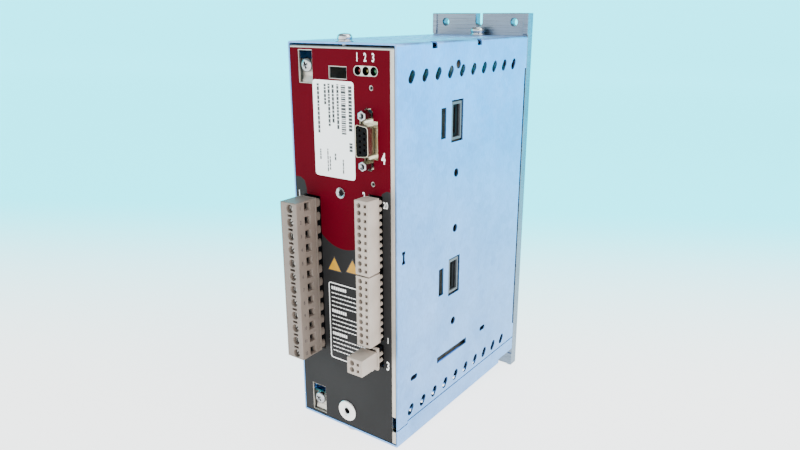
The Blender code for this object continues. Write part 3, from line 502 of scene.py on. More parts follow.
def makeHood():
    x, y, z = span("hood")
    sheet = hoodLook["sheet"]
    bm = bmesh.new()
    addBox(bm, x, y, z)
    bm.normal_update()
    ends = [face for face in bm.faces if abs(face.normal.y) > 0.5 or face.normal.z < -0.5]
    bmesh.ops.delete(bm, geom=ends, context="FACES")
    folds = [edge for edge in bm.edges if len(edge.link_faces) == 2]
    bmesh.ops.bevel(bm, geom=folds, offset=hoodLook["fold"], segments=5, profile=0.5, affect="EDGES",
                    material=-1)
    for face in bm.faces:
        face.smooth = face.calc_area() < 400
    bmesh.ops.solidify(bm, geom=bm.faces[:], thickness=sheet)
    edges = bmesh.new()
    low, step = hoodLook["seam"]
    reliefFore, reliefLow, reliefHigh = hoodLook["relief"]
    for side in ((x[0] - 2, x[0] + 2), (x[1] - 2, x[1] + 2)):
        addBox(edges, side, (fore(hoodLook["seamStep"]), fore(-3)), (up(low - 3), up(step)))
        addBox(edges, side, (fore(reliefFore), fore(-2)), (up(reliefLow), up(reliefHigh)))
    for front, back in hoodLook["notches"]:
        addBox(edges, (x[1] - 4.5, x[1] + 2), (fore(front), fore(back)), (z[1] - 3.4, z[1] + 2))
    bm = carved(bm, edges)
    rows = bmesh.new()
    for height in vents["rows"]:
        ventRow(rows, x[1] - sheet / 2, height)
        ventRow(rows, x[0] + sheet / 2, height)
    ventColumns(rows, z[1] - sheet / 2, vents["first"] - vents["pitch"], vents["perRow"] - 2)
    bm = carved(bm, rows)
    ports = bmesh.new()
    wall = (x[1] - 2, x[1] + 2)
    front, back, half = hoodLook["window"]
    hookFront, hookBack, hookHalf = hoodLook["hook"]
    for height in hoodLook["windows"]:
        addBox(ports, wall, (fore(front), fore(back)), (up(height - half), up(height + half)))
        addBox(ports, wall, (fore(hookFront), fore(hookBack)), (up(height - hookHalf), up(height + hookHalf)))
    for height in hoodLook["holes"]:
        addRod(ports, (x[1], fore(hoodLook["holeFore"]), up(height)), hoodLook["hole"], 4, "X")
    slitFront, slitBack, slitLow, slitHigh = hoodLook["slit"]
    wider, tall = hoodLook["serif"]
    slit = [(slitFront, slitHigh - tall), (slitFront + wider, slitHigh - tall), (slitFront + wider, slitHigh),
            (slitBack - wider, slitHigh), (slitBack - wider, slitHigh - tall), (slitBack, slitHigh - tall)]
    slit += [(distance, slitLow + slitHigh - height) for distance, height in slit[::-1]]
    addPrism(ports, [(fore(distance), up(height)) for distance, height in slit], "X", *wall)
    for distance in hoodLook["ovals"]:
        addSlot(ports, (x[1], fore(distance), up(hoodLook["ovalUp"])), *hoodLook["oval"], 0, "X", 4)
    lanceFront, lanceBack, lanceLow, lanceHigh = hoodLook["lance"]
    addBox(ports, wall, (fore(lanceFront), fore(lanceBack)), (up(lanceLow), up(lanceHigh)))
    for across, distance in screwSpots.values():
        addRod(ports, (across, fore(distance), z[1]), hoodLook["screwHole"], 4, "Z")
    bm = carved(bm, ports)
    rounded(bm, hoodLook["rim"], 2)
    makePiece("hood_shell", bm, "galvanised_steel", stands=["hood"])
    tab = bmesh.new()  # the tongue of the lance, pushed in from its upper edge
    path = [(x[1] - 0.5, up(lanceHigh + 0.6)), (x[1] - 0.6, up(lanceHigh - 0.3)),
            (x[1] - 2.6, up(lanceLow + 0.9))]
    shorter, thick = hoodLook["tongue"]
    addStrip(tab, path, (fore(lanceFront - shorter), fore(lanceBack + shorter)), thick)
    makePiece("lance_tongue", rounded(tab, 0.1, 1), "galvanised_steel")


def addStrip(bm, path, y, thick):  # a bent strip: the path in X and Z, swept along Y
    verts = [bm.verts.new((across, y[0], height)) for across, height in path]
    edges = [bm.edges.new(pair) for pair in zip(verts, verts[1:])]
    swept = bmesh.ops.extrude_edge_only(bm, edges=edges)["geom"]
    moved = [item for item in swept if isinstance(item, bmesh.types.BMVert)]
    bmesh.ops.translate(bm, vec=(0, y[1] - y[0], 0), verts=moved)
    bmesh.ops.recalc_face_normals(bm, faces=bm.faces)
    bmesh.ops.solidify(bm, geom=bm.faces[:], thickness=thick)


trayLook = {"wall": 1.2, "sheet": 1.0, "lift": 3.6, "liftFore": 20.2, "lip": 10.6, "lipStep": 129.0,
            "fold": 1.2, "screwHole": 2.2, "rim": 0.12}


def makeTray():
    x, y, z = span("chassis_tray")
    wall, lift, liftFore = trayLook["wall"], trayLook["lift"], trayLook["liftFore"]
    bm = bmesh.new()
    addBox(bm, x, y, z)
    rounded(bm, trayLook["fold"], 4, lambda edge: all(vert.co.z < z[0] + 0.1 for vert in edge.verts)
            and abs(edge.verts[0].co.y - edge.verts[1].co.y) > 10)
    hollow = bmesh.new()
    inner = fore(liftFore + wall)
    section = [(y[0] - 2, up(wall)), (inner, up(wall)), (inner, up(lift + wall)), (fore(-3), up(lift + wall)),
               (fore(-3), up(20)), (y[0] - 2, up(20))]
    addPrism(hollow, section, "X", x[0] + trayLook["sheet"], x[1] - trayLook["sheet"])
    addBox(hollow, (x[0] - 2, x[1] + 2), (fore(liftFore), fore(-3)), (up(-3), up(lift)))
    bm = carved(bm, hollow)
    steps = bmesh.new()
    for side in ((x[0] - 1, x[0] + 2), (x[1] - 2, x[1] + 1)):
        addBox(steps, side, (y[0] - 2, fore(trayLook["lipStep"])), (up(trayLook["lip"]), up(20)))
    bm = carved(bm, steps)
    holes = bmesh.new()
    ventColumns(holes, up(wall / 2), vents["first"] - 2 * vents["pitch"], vents["perRow"] - 3)
    addRod(holes, (0, fore(screwSpots["front"][1]), up(wall / 2)), trayLook["screwHole"], 4, "Z")
    bm = rounded(carved(bm, holes), trayLook["rim"], 2)
    makePiece("tray_shell", bm, "galvanised_steel", stands=["chassis_tray"])


# Front panel and its printed film share one set of openings; grow widens the film's.
windows = {"upper": (-27.6, -18.5, 197.3, 213.5), "lower": (-27.4, -17.6, 3.4, 20.6)}
cutouts = {"card": (-7.0, 4.2, 200.4, 206.0), "power": (-27.7, -15.8, 46.4, 137.4),
           "signal": (17.2, 26.2, 63.3, 143.5), "relay": (16.8, 26.0, 47.3, 61.1)}
dsub = {"x": 17.85, "up": 171.2, "screws": 12.5, "reach": 6.0, "flangeBehind": 1.8, "blunt": 0.9,
        "hole": (5.8, 9.6, 3.0, 1.5)}
leds = {"x": (11.4, 16.4, 21.3), "up": 204.7}
bush = {"x": -0.7, "up": 11.3, "collar": 6.2, "bore": 1.9}
smallHoles = ((19.7, 196.8), (20.1, 148.9))
ringHole = (-1.4, 141.3)
film = {"thick": 0.25, "gap": 0.05, "grow": 0.42, "ledWindow": (15.4, 5.0)}
panelLook = {"thick": 1.2, "flange": 1.0, "fold": 0.8, "rim": 0.1, "ledHole": 2.15, "screwHole": 2.1,
             "ears": (31.0, 9.4, 18.6), "smallHole": 0.9, "ringHole": 2.0, "bushHole": 3.3}


def panelOpenings(grow):
    y = (ahead(2), ahead(-3))
    bm = bmesh.new()
    for x0, x1, z0, z1 in [*windows.values(), cutouts["card"]]:
        addBox(bm, (x0 - grow, x1 + grow), y, (up(z0 - grow), up(z1 + grow)))
    for name in ("power", "signal", "relay"):
        x0, x1, z0, z1 = cutouts[name]
        addBox(bm, (x0, x1), y, (up(z0), up(z1)))
    for x, height in smallHoles:
        addRod(bm, (x, ahead(0), up(height)), panelLook["smallHole"] + grow, 5, sides=24)
    addRod(bm, (ringHole[0], ahead(0), up(ringHole[1])), panelLook["ringHole"], 5, sides=24)
    addRod(bm, (bush["x"], ahead(0), up(bush["up"])), panelLook["bushHole"] + grow, 5, sides=24)
    halfX, halfZ, lobe, tip = dsub["hole"]
    reach = dsub["screws"] + 3.2
    ring = [(halfX, halfZ), (lobe, halfZ), (lobe, reach - 1.4), (tip, reach)]
    outline = [(dsub["x"] + x, up(dsub["up"] + z)) for x, z in ring]
    outline += [(dsub["x"] - x, up(dsub["up"] + z)) for x, z in ring[::-1]]
    outline += [(dsub["x"] - x, up(dsub["up"] - z)) for x, z in ring]
    outline += [(dsub["x"] + x, up(dsub["up"] - z)) for x, z in ring[::-1]]
    addPrism(bm, outline, "Y", *y)
    return bm


def makePanel():
    x, y, z = span("front_panel")
    thick, sheet = panelLook["thick"], panelLook["flange"]
    section = [(y[0], z[0]), (y[0], z[1]), (y[1], z[1]), (y[1], z[1] - sheet), (y[0] + thick, z[1] - sheet),
               (y[0] + thick, z[0] + sheet), (y[1], z[0] + sheet), (y[1], z[0])]
    bm = bmesh.new()
    addPrism(bm, section, "X", *x)
    rounded(bm, panelLook["fold"], 3, lambda edge: all(abs(vert.co.y - y[0]) < 0.1 for vert in edge.verts)
            and abs(edge.verts[0].co.x - edge.verts[1].co.x) > 10)
    bm = carved(bm, panelOpenings(0))
    more = bmesh.new()
    for hole in leds["x"]:
        addRod(more, (hole, ahead(0), up(leds["up"])), panelLook["ledHole"], 5, sides=28)
    inner, low, high = panelLook["ears"]
    for side in ((x[0] - 2, -inner), (inner, x[1] + 2)):
        addBox(more, side, (ahead(2), ahead(-3)), (up(low), up(high)))
    for height in z:
        addRod(more, (0, fore(screwSpots["front"][1]), height), panelLook["screwHole"], 4, "Z")
    bm = rounded(carved(bm, more), panelLook["rim"], 1)
    makePiece("panel_sheet", bm, "panel_steel", stands=["front_panel"])


# The red print covers the top of the film and hangs down between the plugs in one broad lobe.
redPrint = {"level": 146.4, "lobe": (-0.5, 141.0, 25.2, 31.0), "fillet": 4.0}


def redOutline():
    centreX, centreUp, halfX, halfUp = redPrint["lobe"]
    level, fillet = redPrint["level"], redPrint["fillet"]
    lobe = [(centreX + halfX * math.cos(math.radians(turn)), centreUp + halfUp * math.sin(math.radians(turn)))
            for turn in range(-180, 1, 5)]
    start, end, bend, dip = lobe[0][0], lobe[-1][0], fillet * 0.3, (centreUp - level) * 0.3
    left = [(-40, 230), (-40, level), (start - fillet, level), (start - bend, level + dip)]
    right = [(end + bend, level + dip), (end + fillet, level), (40, level), (40, 230)]
    return [(x, up(height)) for x, height in left + lobe + right]


# the films take the red and grey film finishes, whose dark tones carry the panel face's painted shade
def makeFilm():
    x, y, z = span("panel_overlay")
    for tone, operation in (("red", "INTERSECT"), ("grey", "DIFFERENCE")):
        bm = bmesh.new()
        addBox(bm, x, y, z)
        bm = carved(bm, panelOpenings(film["grow"]))
        ledWindow = bmesh.new()
        centre = (sum(leds["x"]) / 3, ahead(0), up(leds["up"]))
        addSlot(ledWindow, centre, *film["ledWindow"], 0, "Y", 4, 32)
        bm = carved(bm, ledWindow)
        mask = bmesh.new()
        addPrism(mask, redOutline(), "Y", ahead(3), ahead(-3))
        makePiece("film_" + tone, carved(bm, mask, operation), tone + "_film", stands=["panel_overlay"])


makeHood()
makeTray()
makePanel()
makeFilm()
print("cold plate, hood, tray, panel and film")

# Printing: thin raised ink on the film's face and on the label.
ink = {"film": film["gap"] + film["thick"] + 0.004, "thick": 0.02, "over": 0.025}


def inkLayer(level):
    return (ahead(level + ink["thick"]), ahead(level))


def addNumeral(bm, text, height, place, facing="front", squeeze=0.62):
    curve = bpy.data.curves.new("numeral", "FONT")
    curve.body = text
    curve.align_x = "CENTER"
    curve.align_y = "CENTER"
    curve.extrude = ink["thick"] / 2 / height
    curve.resolution_u = 3
    curve.offset = 0.02
    holder = bpy.data.objects.new("numeral", curve)
    bpy.context.scene.collection.objects.link(holder)
    mesh = bpy.data.meshes.new_from_object(holder.evaluated_get(bpy.context.evaluated_depsgraph_get()))
    turn = {"front": Matrix.Rotation(math.pi / 2, 4, "X"),
            "right": Matrix(((0, 0, 1), (1, 0, 0), (0, 1, 0))).to_4x4()}[facing]
    size = height / 0.7  # a capital is about 0.7 of the type size
    mesh.transform(Matrix.Translation(place) @ turn @ Matrix.Diagonal((size * squeeze, size, size * 0.7, 1)))
    bm.from_mesh(mesh)
    bpy.data.objects.remove(holder)
    bpy.data.curves.remove(curve)
    bpy.data.meshes.remove(mesh)


panelNumerals = (("1", 4.0, 11.4, 211.0), ("2", 4.0, 16.4, 211.0), ("3", 4.0, 21.3, 211.0),
                 ("20", 3.4, 28.1, 138.9), ("1", 3.2, 29.0, 64.3), ("3", 5.0, 28.8, 49.0),
                 ("4", 5.6, 27.0, 162.6), ("1", 4.0, -31.2, 136.4), ("2", 4.0, 14.2, 141.8))
notice = {"x": (-12.0, 18.9), "up": (42.6, 89.2), "line": 0.6, "corner": 1.6, "headings": (86.0, 72.2, 58.4),
          "rows": 4, "rowPitch": 2.55, "indent": 2.0}
triangles = {"places": ((-7.2, 99.2), (5.6, 100.2)), "side": 10.4, "border": 0.55}


def roundedOutline(x, z, corner, steps=5):
    outline = []
    for cornerX, cornerZ, start in ((x[1], z[1], 0), (x[0], z[1], 90), (x[0], z[0], 180), (x[1], z[0], 270)):
        centreX = cornerX - math.copysign(corner, cornerX - sum(x) / 2)
        centreZ = cornerZ - math.copysign(corner, cornerZ - sum(z) / 2)
        for step in range(steps + 1):
            turn = math.radians(start + 90 * step / steps)
            outline.append((centreX + corner * math.cos(turn), centreZ + corner * math.sin(turn)))
    return outline


def addWords(bm, draw, start, end, across, along, y, word=(0.7, 2.4), space=0.45):  # a row of word-like bars
    place = start
    while place < end - 0.5:
        stop = min(end, place + draw.uniform(*word))
        limits = {"x": ((place, stop), across), "z": (across, (up(place), up(stop)))}[along]
        addBox(bm, limits[0], y, limits[1])
        place = stop + space


def makePrinting():
    white, draw = bmesh.new(), random.Random(11)
    y = inkLayer(ink["film"])
    for text, height, x, level in panelNumerals:
        addNumeral(white, text, height, (x, sum(y) / 2, up(level)))
    makePiece("panel_numerals", white, "white_print")
    outer, line = bmesh.new(), notice["line"]
    low, high = (up(level) for level in notice["up"])
    addPrism(outer, roundedOutline(notice["x"], (low, high), notice["corner"]), "Y", *y)
    inner = bmesh.new()
    inset = ((notice["x"][0] + line, notice["x"][1] - line), (low + line, high - line))
    addPrism(inner, roundedOutline(*inset, notice["corner"] - line), "Y", ahead(2), ahead(-2))
    makePiece("notice_frame", carved(outer, inner), "white_print")
    rows = bmesh.new()
    left, right = notice["x"][0] + notice["indent"], notice["x"][1] - notice["indent"]
    for heading in notice["headings"]:
        line = (up(heading - 0.9), up(heading + 0.9))
        addWords(rows, draw, left, left + 10.5, line, "x", y, (1.1, 1.3), 0.35)
        for row in range(1, notice["rows"] + 1):
            level = heading - 0.5 - notice["rowPitch"] * row
            end = right - draw.uniform(0.0, 5.0)
            addWords(rows, draw, left, end, (up(level - 0.28), up(level + 0.28)), "x", y)
    makePiece("notice_rows", rows, "white_print")
    for name, finish, shrink, level in (
            ("sign_border", "dark_print", 0.0, ink["film"]),
            ("sign_field", "yellow_print", triangles["border"], ink["film"] + ink["over"])):
        signs = bmesh.new()
        for x, height in triangles["places"]:
            radius = triangles["side"] / math.sqrt(3) - shrink * 2
            corners = [(x + radius * math.sin(turn), up(height) + radius * math.cos(turn))
                       for turn in (0, -math.tau / 3, math.tau / 3)]
            addPrism(signs, corners, "Y", *inkLayer(level))
        makePiece(name, signs, finish)


labelLook = {"corner": 1.8, "bars": (0.7, 3.7), "barsUp": (172.5, 197.2),
             "rows": ((-14.6, 172.0, 197.5, 0.72), (-9.9, 187.0, 198.0, 0.72), (-7.3, 176.0, 197.5, 0.72),
                      (-4.6, 178.0, 197.5, 0.72), (-1.5, 175.0, 197.5, 0.72), (6.6, 174.5, 197.0, 1.15),
                      (-14.2, 158.0, 163.5, 0.5), (-9.2, 152.0, 164.0, 0.4), (-7.7, 153.0, 161.0, 0.4),
                      (-4.0, 158.5, 162.0, 0.5), (1.2, 152.0, 160.0, 0.4), (6.6, 164.0, 168.5, 1.05))}


def makeLabel():
    x, y, z = span("rating_label")
    bm = bmesh.new()
    addPrism(bm, roundedOutline(x, z, labelLook["corner"]), "Y", *y)
    makePiece("rating_plate", bm, "label_paper", stands=["rating_label"])
    draw, rows = random.Random(5), bmesh.new()
    layer = (y[0] - 0.004 - ink["thick"], y[0] - 0.004)
    for centre, low, high, half in labelLook["rows"]:
        word = (1.2, 1.6) if half > 1 else (1.0, 2.2)
        addWords(rows, draw, low, high, (centre - half, centre + half), "z", layer, word, 0.35)
    level = labelLook["barsUp"][0]
    while level < labelLook["barsUp"][1]:
        thick = draw.choice((0.45, 0.6, 0.9, 1.3))
        addBox(rows, labelLook["bars"], layer, (up(level), up(level + thick)))
        level += thick + draw.choice((0.3, 0.35, 0.45))
    makePiece("rating_print", rows, "dark_print")


makePrinting()
makeLabel()
print("printing and label")


# Fixings: domed heads with a tapered cross recess, washers and the brackets behind the panel windows.
screwLook = {"arm": 0.6, "blade": 0.19, "recess": 0.75, "dome": 0.42}
heads = {"upper_panel_screw": (3.7, 2.6, 1.5, 4.9, "front", 20),  # radius, height, shank, length, way, twist
         "lower_panel_screw": (3.7, 2.6, 1.5, 4.9, "front", 50),
         "top_front_screw": (3.8, 3.0, 1.7, 6.9, "up", 25),
         "top_rear_screw": (4.4, 3.6, 1.8, 6.4, "up", 65),
         "bottom_screw": (3.8, 2.6, 1.7, 5.9, "down", -10)}
washer = {"bore": 2.15, "edge": 0.12, "flat": 0.45, "spring": 0.8, "seam": 0.02}


def addPanHead(bm, radius, height, shank, length, place):
    rim = height * (1 - screwLook["dome"]) * 0.8
    outline = [(0, -length), (shank * 0.7, -length), (shank, -length + shank * 0.5), (shank, 0),
               (radius * 0.94, 0), (radius, 0.12 * height), (radius, rim)]
    for turn in (15, 30, 45, 60, 75):
        angle = math.radians(turn)
        outline.append((radius * (0.35 + 0.65 * math.cos(angle)), rim + (height - rim) * math.sin(angle)))
    outline += [(radius * 0.35, height), (0, height)]
    head = bmesh.new()
    addTurned(head, outline, Matrix.Identity(4), 36)
    cross = bmesh.new()
    arm, blade = radius * screwLook["arm"], radius * screwLook["blade"]
    low, high = height * (1 - screwLook["recess"]), height + 0.6
    ring = [(arm, -blade), (arm, blade), (blade, blade), (blade, arm), (-blade, arm), (-blade, blade),
            (-arm, blade), (-arm, -blade), (-blade, -blade), (-blade, -arm), (blade, -arm), (blade, -blade)]
    addPrism(cross, ring, "Z", low, high)
    for vert in cross.verts:  # the recess narrows towards its floor
        if vert.co.z < low + 0.01:
            vert.co.x *= 0.45
            vert.co.y *= 0.45
    head = carved(head, cross)
    head.transform(place)
    addPart(bm, head)


def makeFixings():
    for node, (radius, height, shank, length, facing, twist) in heads.items():
        y, z = span(node)[1:]
        across, along, level = middles(node)
        seat, turn = {"front": ((across, y[0] + height, level), turns["Y"]),
                      "up": ((across, along, z[1] - height), turns["Z"]),
                      "down": ((across, along, z[0] + height), Matrix.Rotation(math.pi, 4, "X"))}[facing]
        bm = bmesh.new()
        addPanHead(bm, radius, height, shank, length, Matrix.Translation(seat) @ turn @ spun(twist))
        makePiece(node + "_head", bm, "zinc_hardware", stands=[node])
    bore, edge = washer["bore"], washer["edge"]
    for node in ("top_front_washer", "top_rear_washer"):  # a flat washer under a split spring washer
        x, y, z = span(node)
        across, along, level = middles(node)
        radius, rise = (x[1] - x[0]) / 2, z[1] - z[0]
        flat, spring = rise * washer["flat"], radius * washer["spring"]
        place = Matrix.Translation((across, along, z[0]))
        ring, split, gap = bmesh.new(), bmesh.new(), bmesh.new()
        addTurned(ring, [(bore, 0), (radius - edge, 0), (radius, edge), (radius, flat - edge),
                         (radius - edge, flat), (bore, flat)], place, 40)
        seam = flat + washer["seam"]
        addTurned(split, [(bore, seam), (spring, seam), (spring, rise), (bore, rise)], place, 40)
        addBox(gap, (across + 1.6, across + 6), (along - 0.35, along + 0.35), (z[0] + flat, z[1] + 1))
        bmesh.ops.rotate(gap, verts=gap.verts, cent=(across, along, 0), matrix=Matrix.Rotation(-0.9, 3, "Z"))
        makePiece(node + "_ring", ring, "zinc_hardware", stands=[node])
        makePiece(node + "_spring", carved(split, gap), "zinc_hardware")


def makeBrackets():
    for which, (x0, x1, z0, _) in windows.items():
        x, y, z = span(which + "_fixing_bracket")
        screwX, _, screwZ = middles(which + "_panel_screw")
        bm = bmesh.new()
        addBox(bm, x, y, (z[0], screwZ + 3.0))
        bore = bmesh.new()
        addRod(bore, (screwX, y[0], screwZ), 1.9, 6)
        bm = carved(bm, bore)
        makePiece(which + "_bracket_plate", rounded(bm, 0.15, 2), "panel_steel",
                  stands=[which + "_fixing_bracket"])
        lip = bmesh.new()  # the bracket's foot slopes forward at the window's lower edge
        section = [(y[0] - 0.1, up(z0 + 3.2)), (ahead(-1.6), up(z0 + 0.7)), (ahead(-1.6), up(z0 - 0.4)),
                   (y[0] - 0.1, up(z0 + 2.0))]
        addPrism(lip, section, "X", x0 + 0.4, x1 - 0.3)
        makePiece(which + "_bracket_lip", rounded(lip, 0.15, 2), "panel_steel")


def makeBush():
    x, z = bush["x"], up(bush["up"])
    place = Matrix.Translation((x, ahead(0), z)) @ turns["Y"]
    collar, bore = bush["collar"], bush["bore"]
    bm = bmesh.new()
    outline = [(bore, -6.2), (3.0, -6.2), (3.0, 0.36), (collar - 0.1, 0.36), (collar, 0.46), (collar, 0.9),
               (collar - 0.35, 1.24), (3.4, 1.24), (3.2, 1.05), (2.7, 1.05), (2.5, 1.24), (bore + 0.35, 1.24),
               (bore, 0.9)]
    threads = [(bore + 0.22 * (step % 2), 0.9 - 0.25 * step) for step in range(1, 24)]
    addTurned(bm, outline + threads, place, 40)
    makePiece("earth_bush_ring", bm, "bush_nickel", stands=["earth_bush"], sharp=30)
    # painted shade: dark sleeves and discs fill the bush's bore and the nut's hole, where only shade falls
    boreShadeFill = bmesh.new()
    addTurned(boreShadeFill, [(1.3, -6.0), (1.86, -6.0), (1.86, 0.7), (1.78, 0.78), (1.3, 0.5)], place, 28)
    floorSpot = Matrix.Translation((x, ahead(-5.0), z)) @ turns["Y"]
    addTurned(boreShadeFill, [(0, -0.4), (1.4, -0.4), (1.4, 0.0), (0, 0.0)], floorSpot, 20)
    nut = bmesh.new()
    spot = Matrix.Translation((ringHole[0], ahead(0), up(ringHole[1]))) @ turns["Y"]
    outline = [(1.5, -3.0), (1.9, -3.0), (1.9, 0.32), (2.85, 0.32), (3.0, 0.42), (2.95, 0.72), (2.4, 0.72),
               (1.8, 0.4), (1.5, 0.0)]
    addTurned(nut, outline, spot, 36)
    makePiece("panel_nut", nut, "zinc_hardware", sharp=30)
    addTurned(boreShadeFill, [(0, -3.0), (1.46, -3.0), (1.46, -0.4), (0, -0.4)], spot, 24)
    makePiece("painted_bore_shade_fills", boreShadeFill, "painted_bore_shade", sharp=30)


def makeLeds():
    x, y, z = span("led_holder")
    across, _, level = middles("led_holder")
    front = ahead(-1.3)
    bm = bmesh.new()
    addSlot(bm, (across, (front + y[1]) / 2, level), x[1] - x[0], z[1] - z[0], 0, "Y", y[1] - front, 32)
    sleeves, bores = bmesh.new(), bmesh.new()
    for centre in leds["x"]:
        addRod(sleeves, (centre, ahead(-1.1), level), 2.1, 2.0, sides=28)
        addRod(bores, (centre, sum(y) / 2, level), 1.85, 9, sides=28)
    bm = carved(bm, sleeves, "UNION")
    makePiece("led_block", carved(bm, bores), "black_plastic", stands=["led_holder"])
    for number, lens in enumerate(("red_lens", "yellow_lens", "green_lens"), 1):
        x, y, z = span(f"status_led_{number}")
        place = Matrix.Translation((sum(x) / 2, y[0] + 1.2, sum(z) / 2)) @ turns["Y"]
        radius = (x[1] - x[0]) / 2
        angles = [math.radians(turn) for turn in range(0, 90, 15)]
        dome = [(radius * math.cos(angle), radius * (math.sin(angle) - 1)) for angle in angles]
        bm = bmesh.new()
        addTurned(bm, [(0, -4), (radius, -4), *dome, (0, 0)], place, 28)
        makePiece(f"led_lens_{number}", bm, lens, stands=[f"status_led_{number}"])


makeFixings()
makeBrackets()
makeBush()
makeLeds()
print("fixings, bush and lamps")


def dsubOutline(halfX, halfZ, slant):
    blunt = dsub["blunt"]
    ring = [(-halfX, -halfZ + blunt), (-halfX + blunt, -halfZ), (halfX - blunt, -halfZ + slant),
            (halfX, -halfZ + slant + blunt)]
    ring += [(x, -z) for x, z in ring[::-1]]
    return [(dsub["x"] + x, up(dsub["up"] + z)) for x, z in ring]


def makeSocket():
    x, y, z = span("dsub_shell")
    rim = y[0]
    flange = ahead(-dsub["flangeBehind"])
    bm = bmesh.new()
    addPrism(bm, roundedOutline(x, z, 1.5), "Y", flange, flange + 0.5)
    nose = bmesh.new()
    addPrism(nose, dsubOutline(3.95, 8.15, 0.7), "Y", rim, flange + 0.3)
    rounded(nose, 0.35, 2, lambda edge: abs(edge.verts[0].co.y - edge.verts[1].co.y) > 3, 20)
    bm = carved(bm, nose, "UNION")
    hollow = bmesh.new()
    addPrism(hollow, dsubOutline(3.65, 7.85, 0.68), "Y", rim - 2, flange + 4)
    for sign in (-1, 1):
        addRod(hollow, (dsub["x"], flange, up(dsub["up"] + sign * dsub["screws"])), 1.7, 4)
    makePiece("socket_shell", rounded(carved(bm, hollow), 0.08, 1), "chromate_shell", stands=["dsub_shell"])
    x, y, z = span("dsub_insert")
    insert, contacts = bmesh.new(), bmesh.new()
    addPrism(insert, dsubOutline(3.35, 7.55, 0.72), "Y", *y)
    sockets = bmesh.new()
    for column, count in ((-1.42, 5), (1.42, 4)):
        for step in range(count):
            height = up(dsub["up"] + 2.77 * (step - (count - 1) / 2))
            place = Matrix.Translation((dsub["x"] + column, y[0] + 1.5, height)) @ turns["Y"]
            addRod(sockets, (dsub["x"] + column, y[0], height), 0.7, 11, sides=16)
            barrel = [(0.38, -3.4), (0.62, -3.4), (0.62, -0.15), (0.54, -0.05), (0.38, -0.15)]
            addTurned(contacts, barrel, place, 16)
    insert = rounded(carved(insert, sockets), 0.12, 1)
    makePiece("socket_insert", insert, "black_plastic", stands=["dsub_insert"])
    makePiece("socket_contacts", contacts, "gold_contact")
    for which in ("upper", "lower"):
        x, y, z = span("dsub_jack_" + which)
        centre = (sum(x) / 2, sum(z) / 2)
        bm = bmesh.new()
        addRod(bm, (centre[0], y[0] + 3.7, centre[1]), 2.6, 7.4, sides=6)
        rounded(bm, 0.35, 2, lambda edge: all(vert.co.y < y[0] + 0.1 for vert in edge.verts))
        stem = bmesh.new()
        addRod(stem, (centre[0], y[1] - 4, centre[1]), 1.4, 8, sides=24)
        bm = carved(bm, stem, "UNION")
        bore = bmesh.new()
        place = Matrix.Translation((centre[0], y[0], centre[1])) @ turns["Y"]
        threads = [(1.3 - 0.18 * (step % 2), -0.35 - 0.25 * step) for step in range(14)]
        addTurned(bore, [(0, 1), (1.6, 1), (1.6, 0), *threads, (0, threads[-1][1])], place, 28)
        makePiece(f"jack_{which}_hex", carved(bm, bore), "zinc_hardware", stands=["dsub_jack_" + which])


makeSocket()
print("serial socket")

terminals = {
    "power": {"node": "power_plug", "header": "power_header", "finish": "warm_grey_plastic", "poles": 12,
              "pitch": 7.62, "ends": 3.2, "rim": 4.1, "reach": 19.0, "screwX": -20.8, "well": 2.25,
              "edge": 0.45, "pin": 0.5},
    "signalUpper": {"node": "signal_plug_upper", "header": "signal_header_upper", "finish": "ivory_plastic",
                    "poles": 10, "pitch": 3.81, "ends": 2.55, "rim": 3.6, "reach": 12.1, "screwX": 20.15,
                    "well": 1.3, "edge": 0.3, "pin": 0.4, "tapX": 24.1, "tap": 0.85, "tapDepth": 5.0,
                    "entry": (5.2, 7.8)},
    "relay": {"node": "relay_plug", "header": "relay_header", "finish": "ivory_plastic", "poles": 2,
              "pitch": 3.81, "ends": 2.8, "rim": 5.2, "reach": 18.5, "screwX": 18.7, "well": 1.5,
              "edge": 0.3, "pin": 0.4, "tapX": 22.7, "tap": 0.85, "tapDepth": 5.0, "entry": (6.8, 9.6)},
}
terminals["signalLower"] = {**terminals["signalUpper"], "node": "signal_plug_lower",
                            "header": "signal_header_lower"}


def poleHeights(look):
    top = span(look["node"])[2][1] - look["ends"]
    return [top - look["pitch"] * pole for pole in range(look["poles"])]


def makeHeader(look):  # a frame and rows of ribs in the plug's plastic over a dark core
    x, y, z = span(look["header"])
    heights = poleHeights(look)
    root = ahead(look["rim"] * 0.7)
    well = ((x[0] + 1.1, x[1] - 1.1), (y[0] - 2, ahead(-4)), (z[0] + 1.0, z[1] - 1.0))
    bm = bmesh.new()
    addBox(bm, x, (y[0], root), z)
    rounded(bm, 0.25, 2)
    ribs = bmesh.new()
    half = look["pitch"] * 0.31
    for height in heights:
        for side, inward in ((x[0], 1), (x[1], -1)):
            centre = (side + inward * 0.95, (root - 0.5 + ahead(0.4)) / 2, height)
            verts = addRod(ribs, centre, half, ahead(0.4) - root + 0.5, sides=16)
            for vert in verts:
                vert.co.x = centre[0] + (vert.co.x - centre[0]) * 0.95 / half
    bm = carved(bm, ribs, "UNION")
    for part, shape, finish in (("shell", bm, look["finish"]), ("core", bmesh.new(), "black_plastic")):
        if part == "core":
            addBox(shape, (x[0] + 1.05, x[1] - 1.05), (root - 0.3, y[1]), (z[0] + 0.4, z[1] - 0.4))
        hollow = bmesh.new()
        addBox(hollow, *well)
        makePiece(f"{look['header']}_{part}", carved(shape, hollow), finish,
                  stands=[look["header"]] if part == "shell" else [])
    pins = bmesh.new()
    size = look["pin"]
    centre = sum(tongueSpan(look)[0]) / 2
    for height in heights:
        addBox(pins, square(centre, size), (y[0] + 1.8, ahead(-5.0)), square(height, size))
    for vert in pins.verts:
        if vert.co.y < y[0] + 2:
            vert.co.x = centre + (vert.co.x - centre) * 0.5
    makePiece(look["header"] + "_pins", pins, "zinc_hardware")


def tongueSpan(look):
    x, _, z = span(look["node"])
    if look is terminals["relay"]:  # its header is narrower than the plug
        x = span(look["header"])[0]
    return (x[0] + 1.7, x[1] - 1.7), z


def square(middle, half):
    return (middle - half, middle + half)


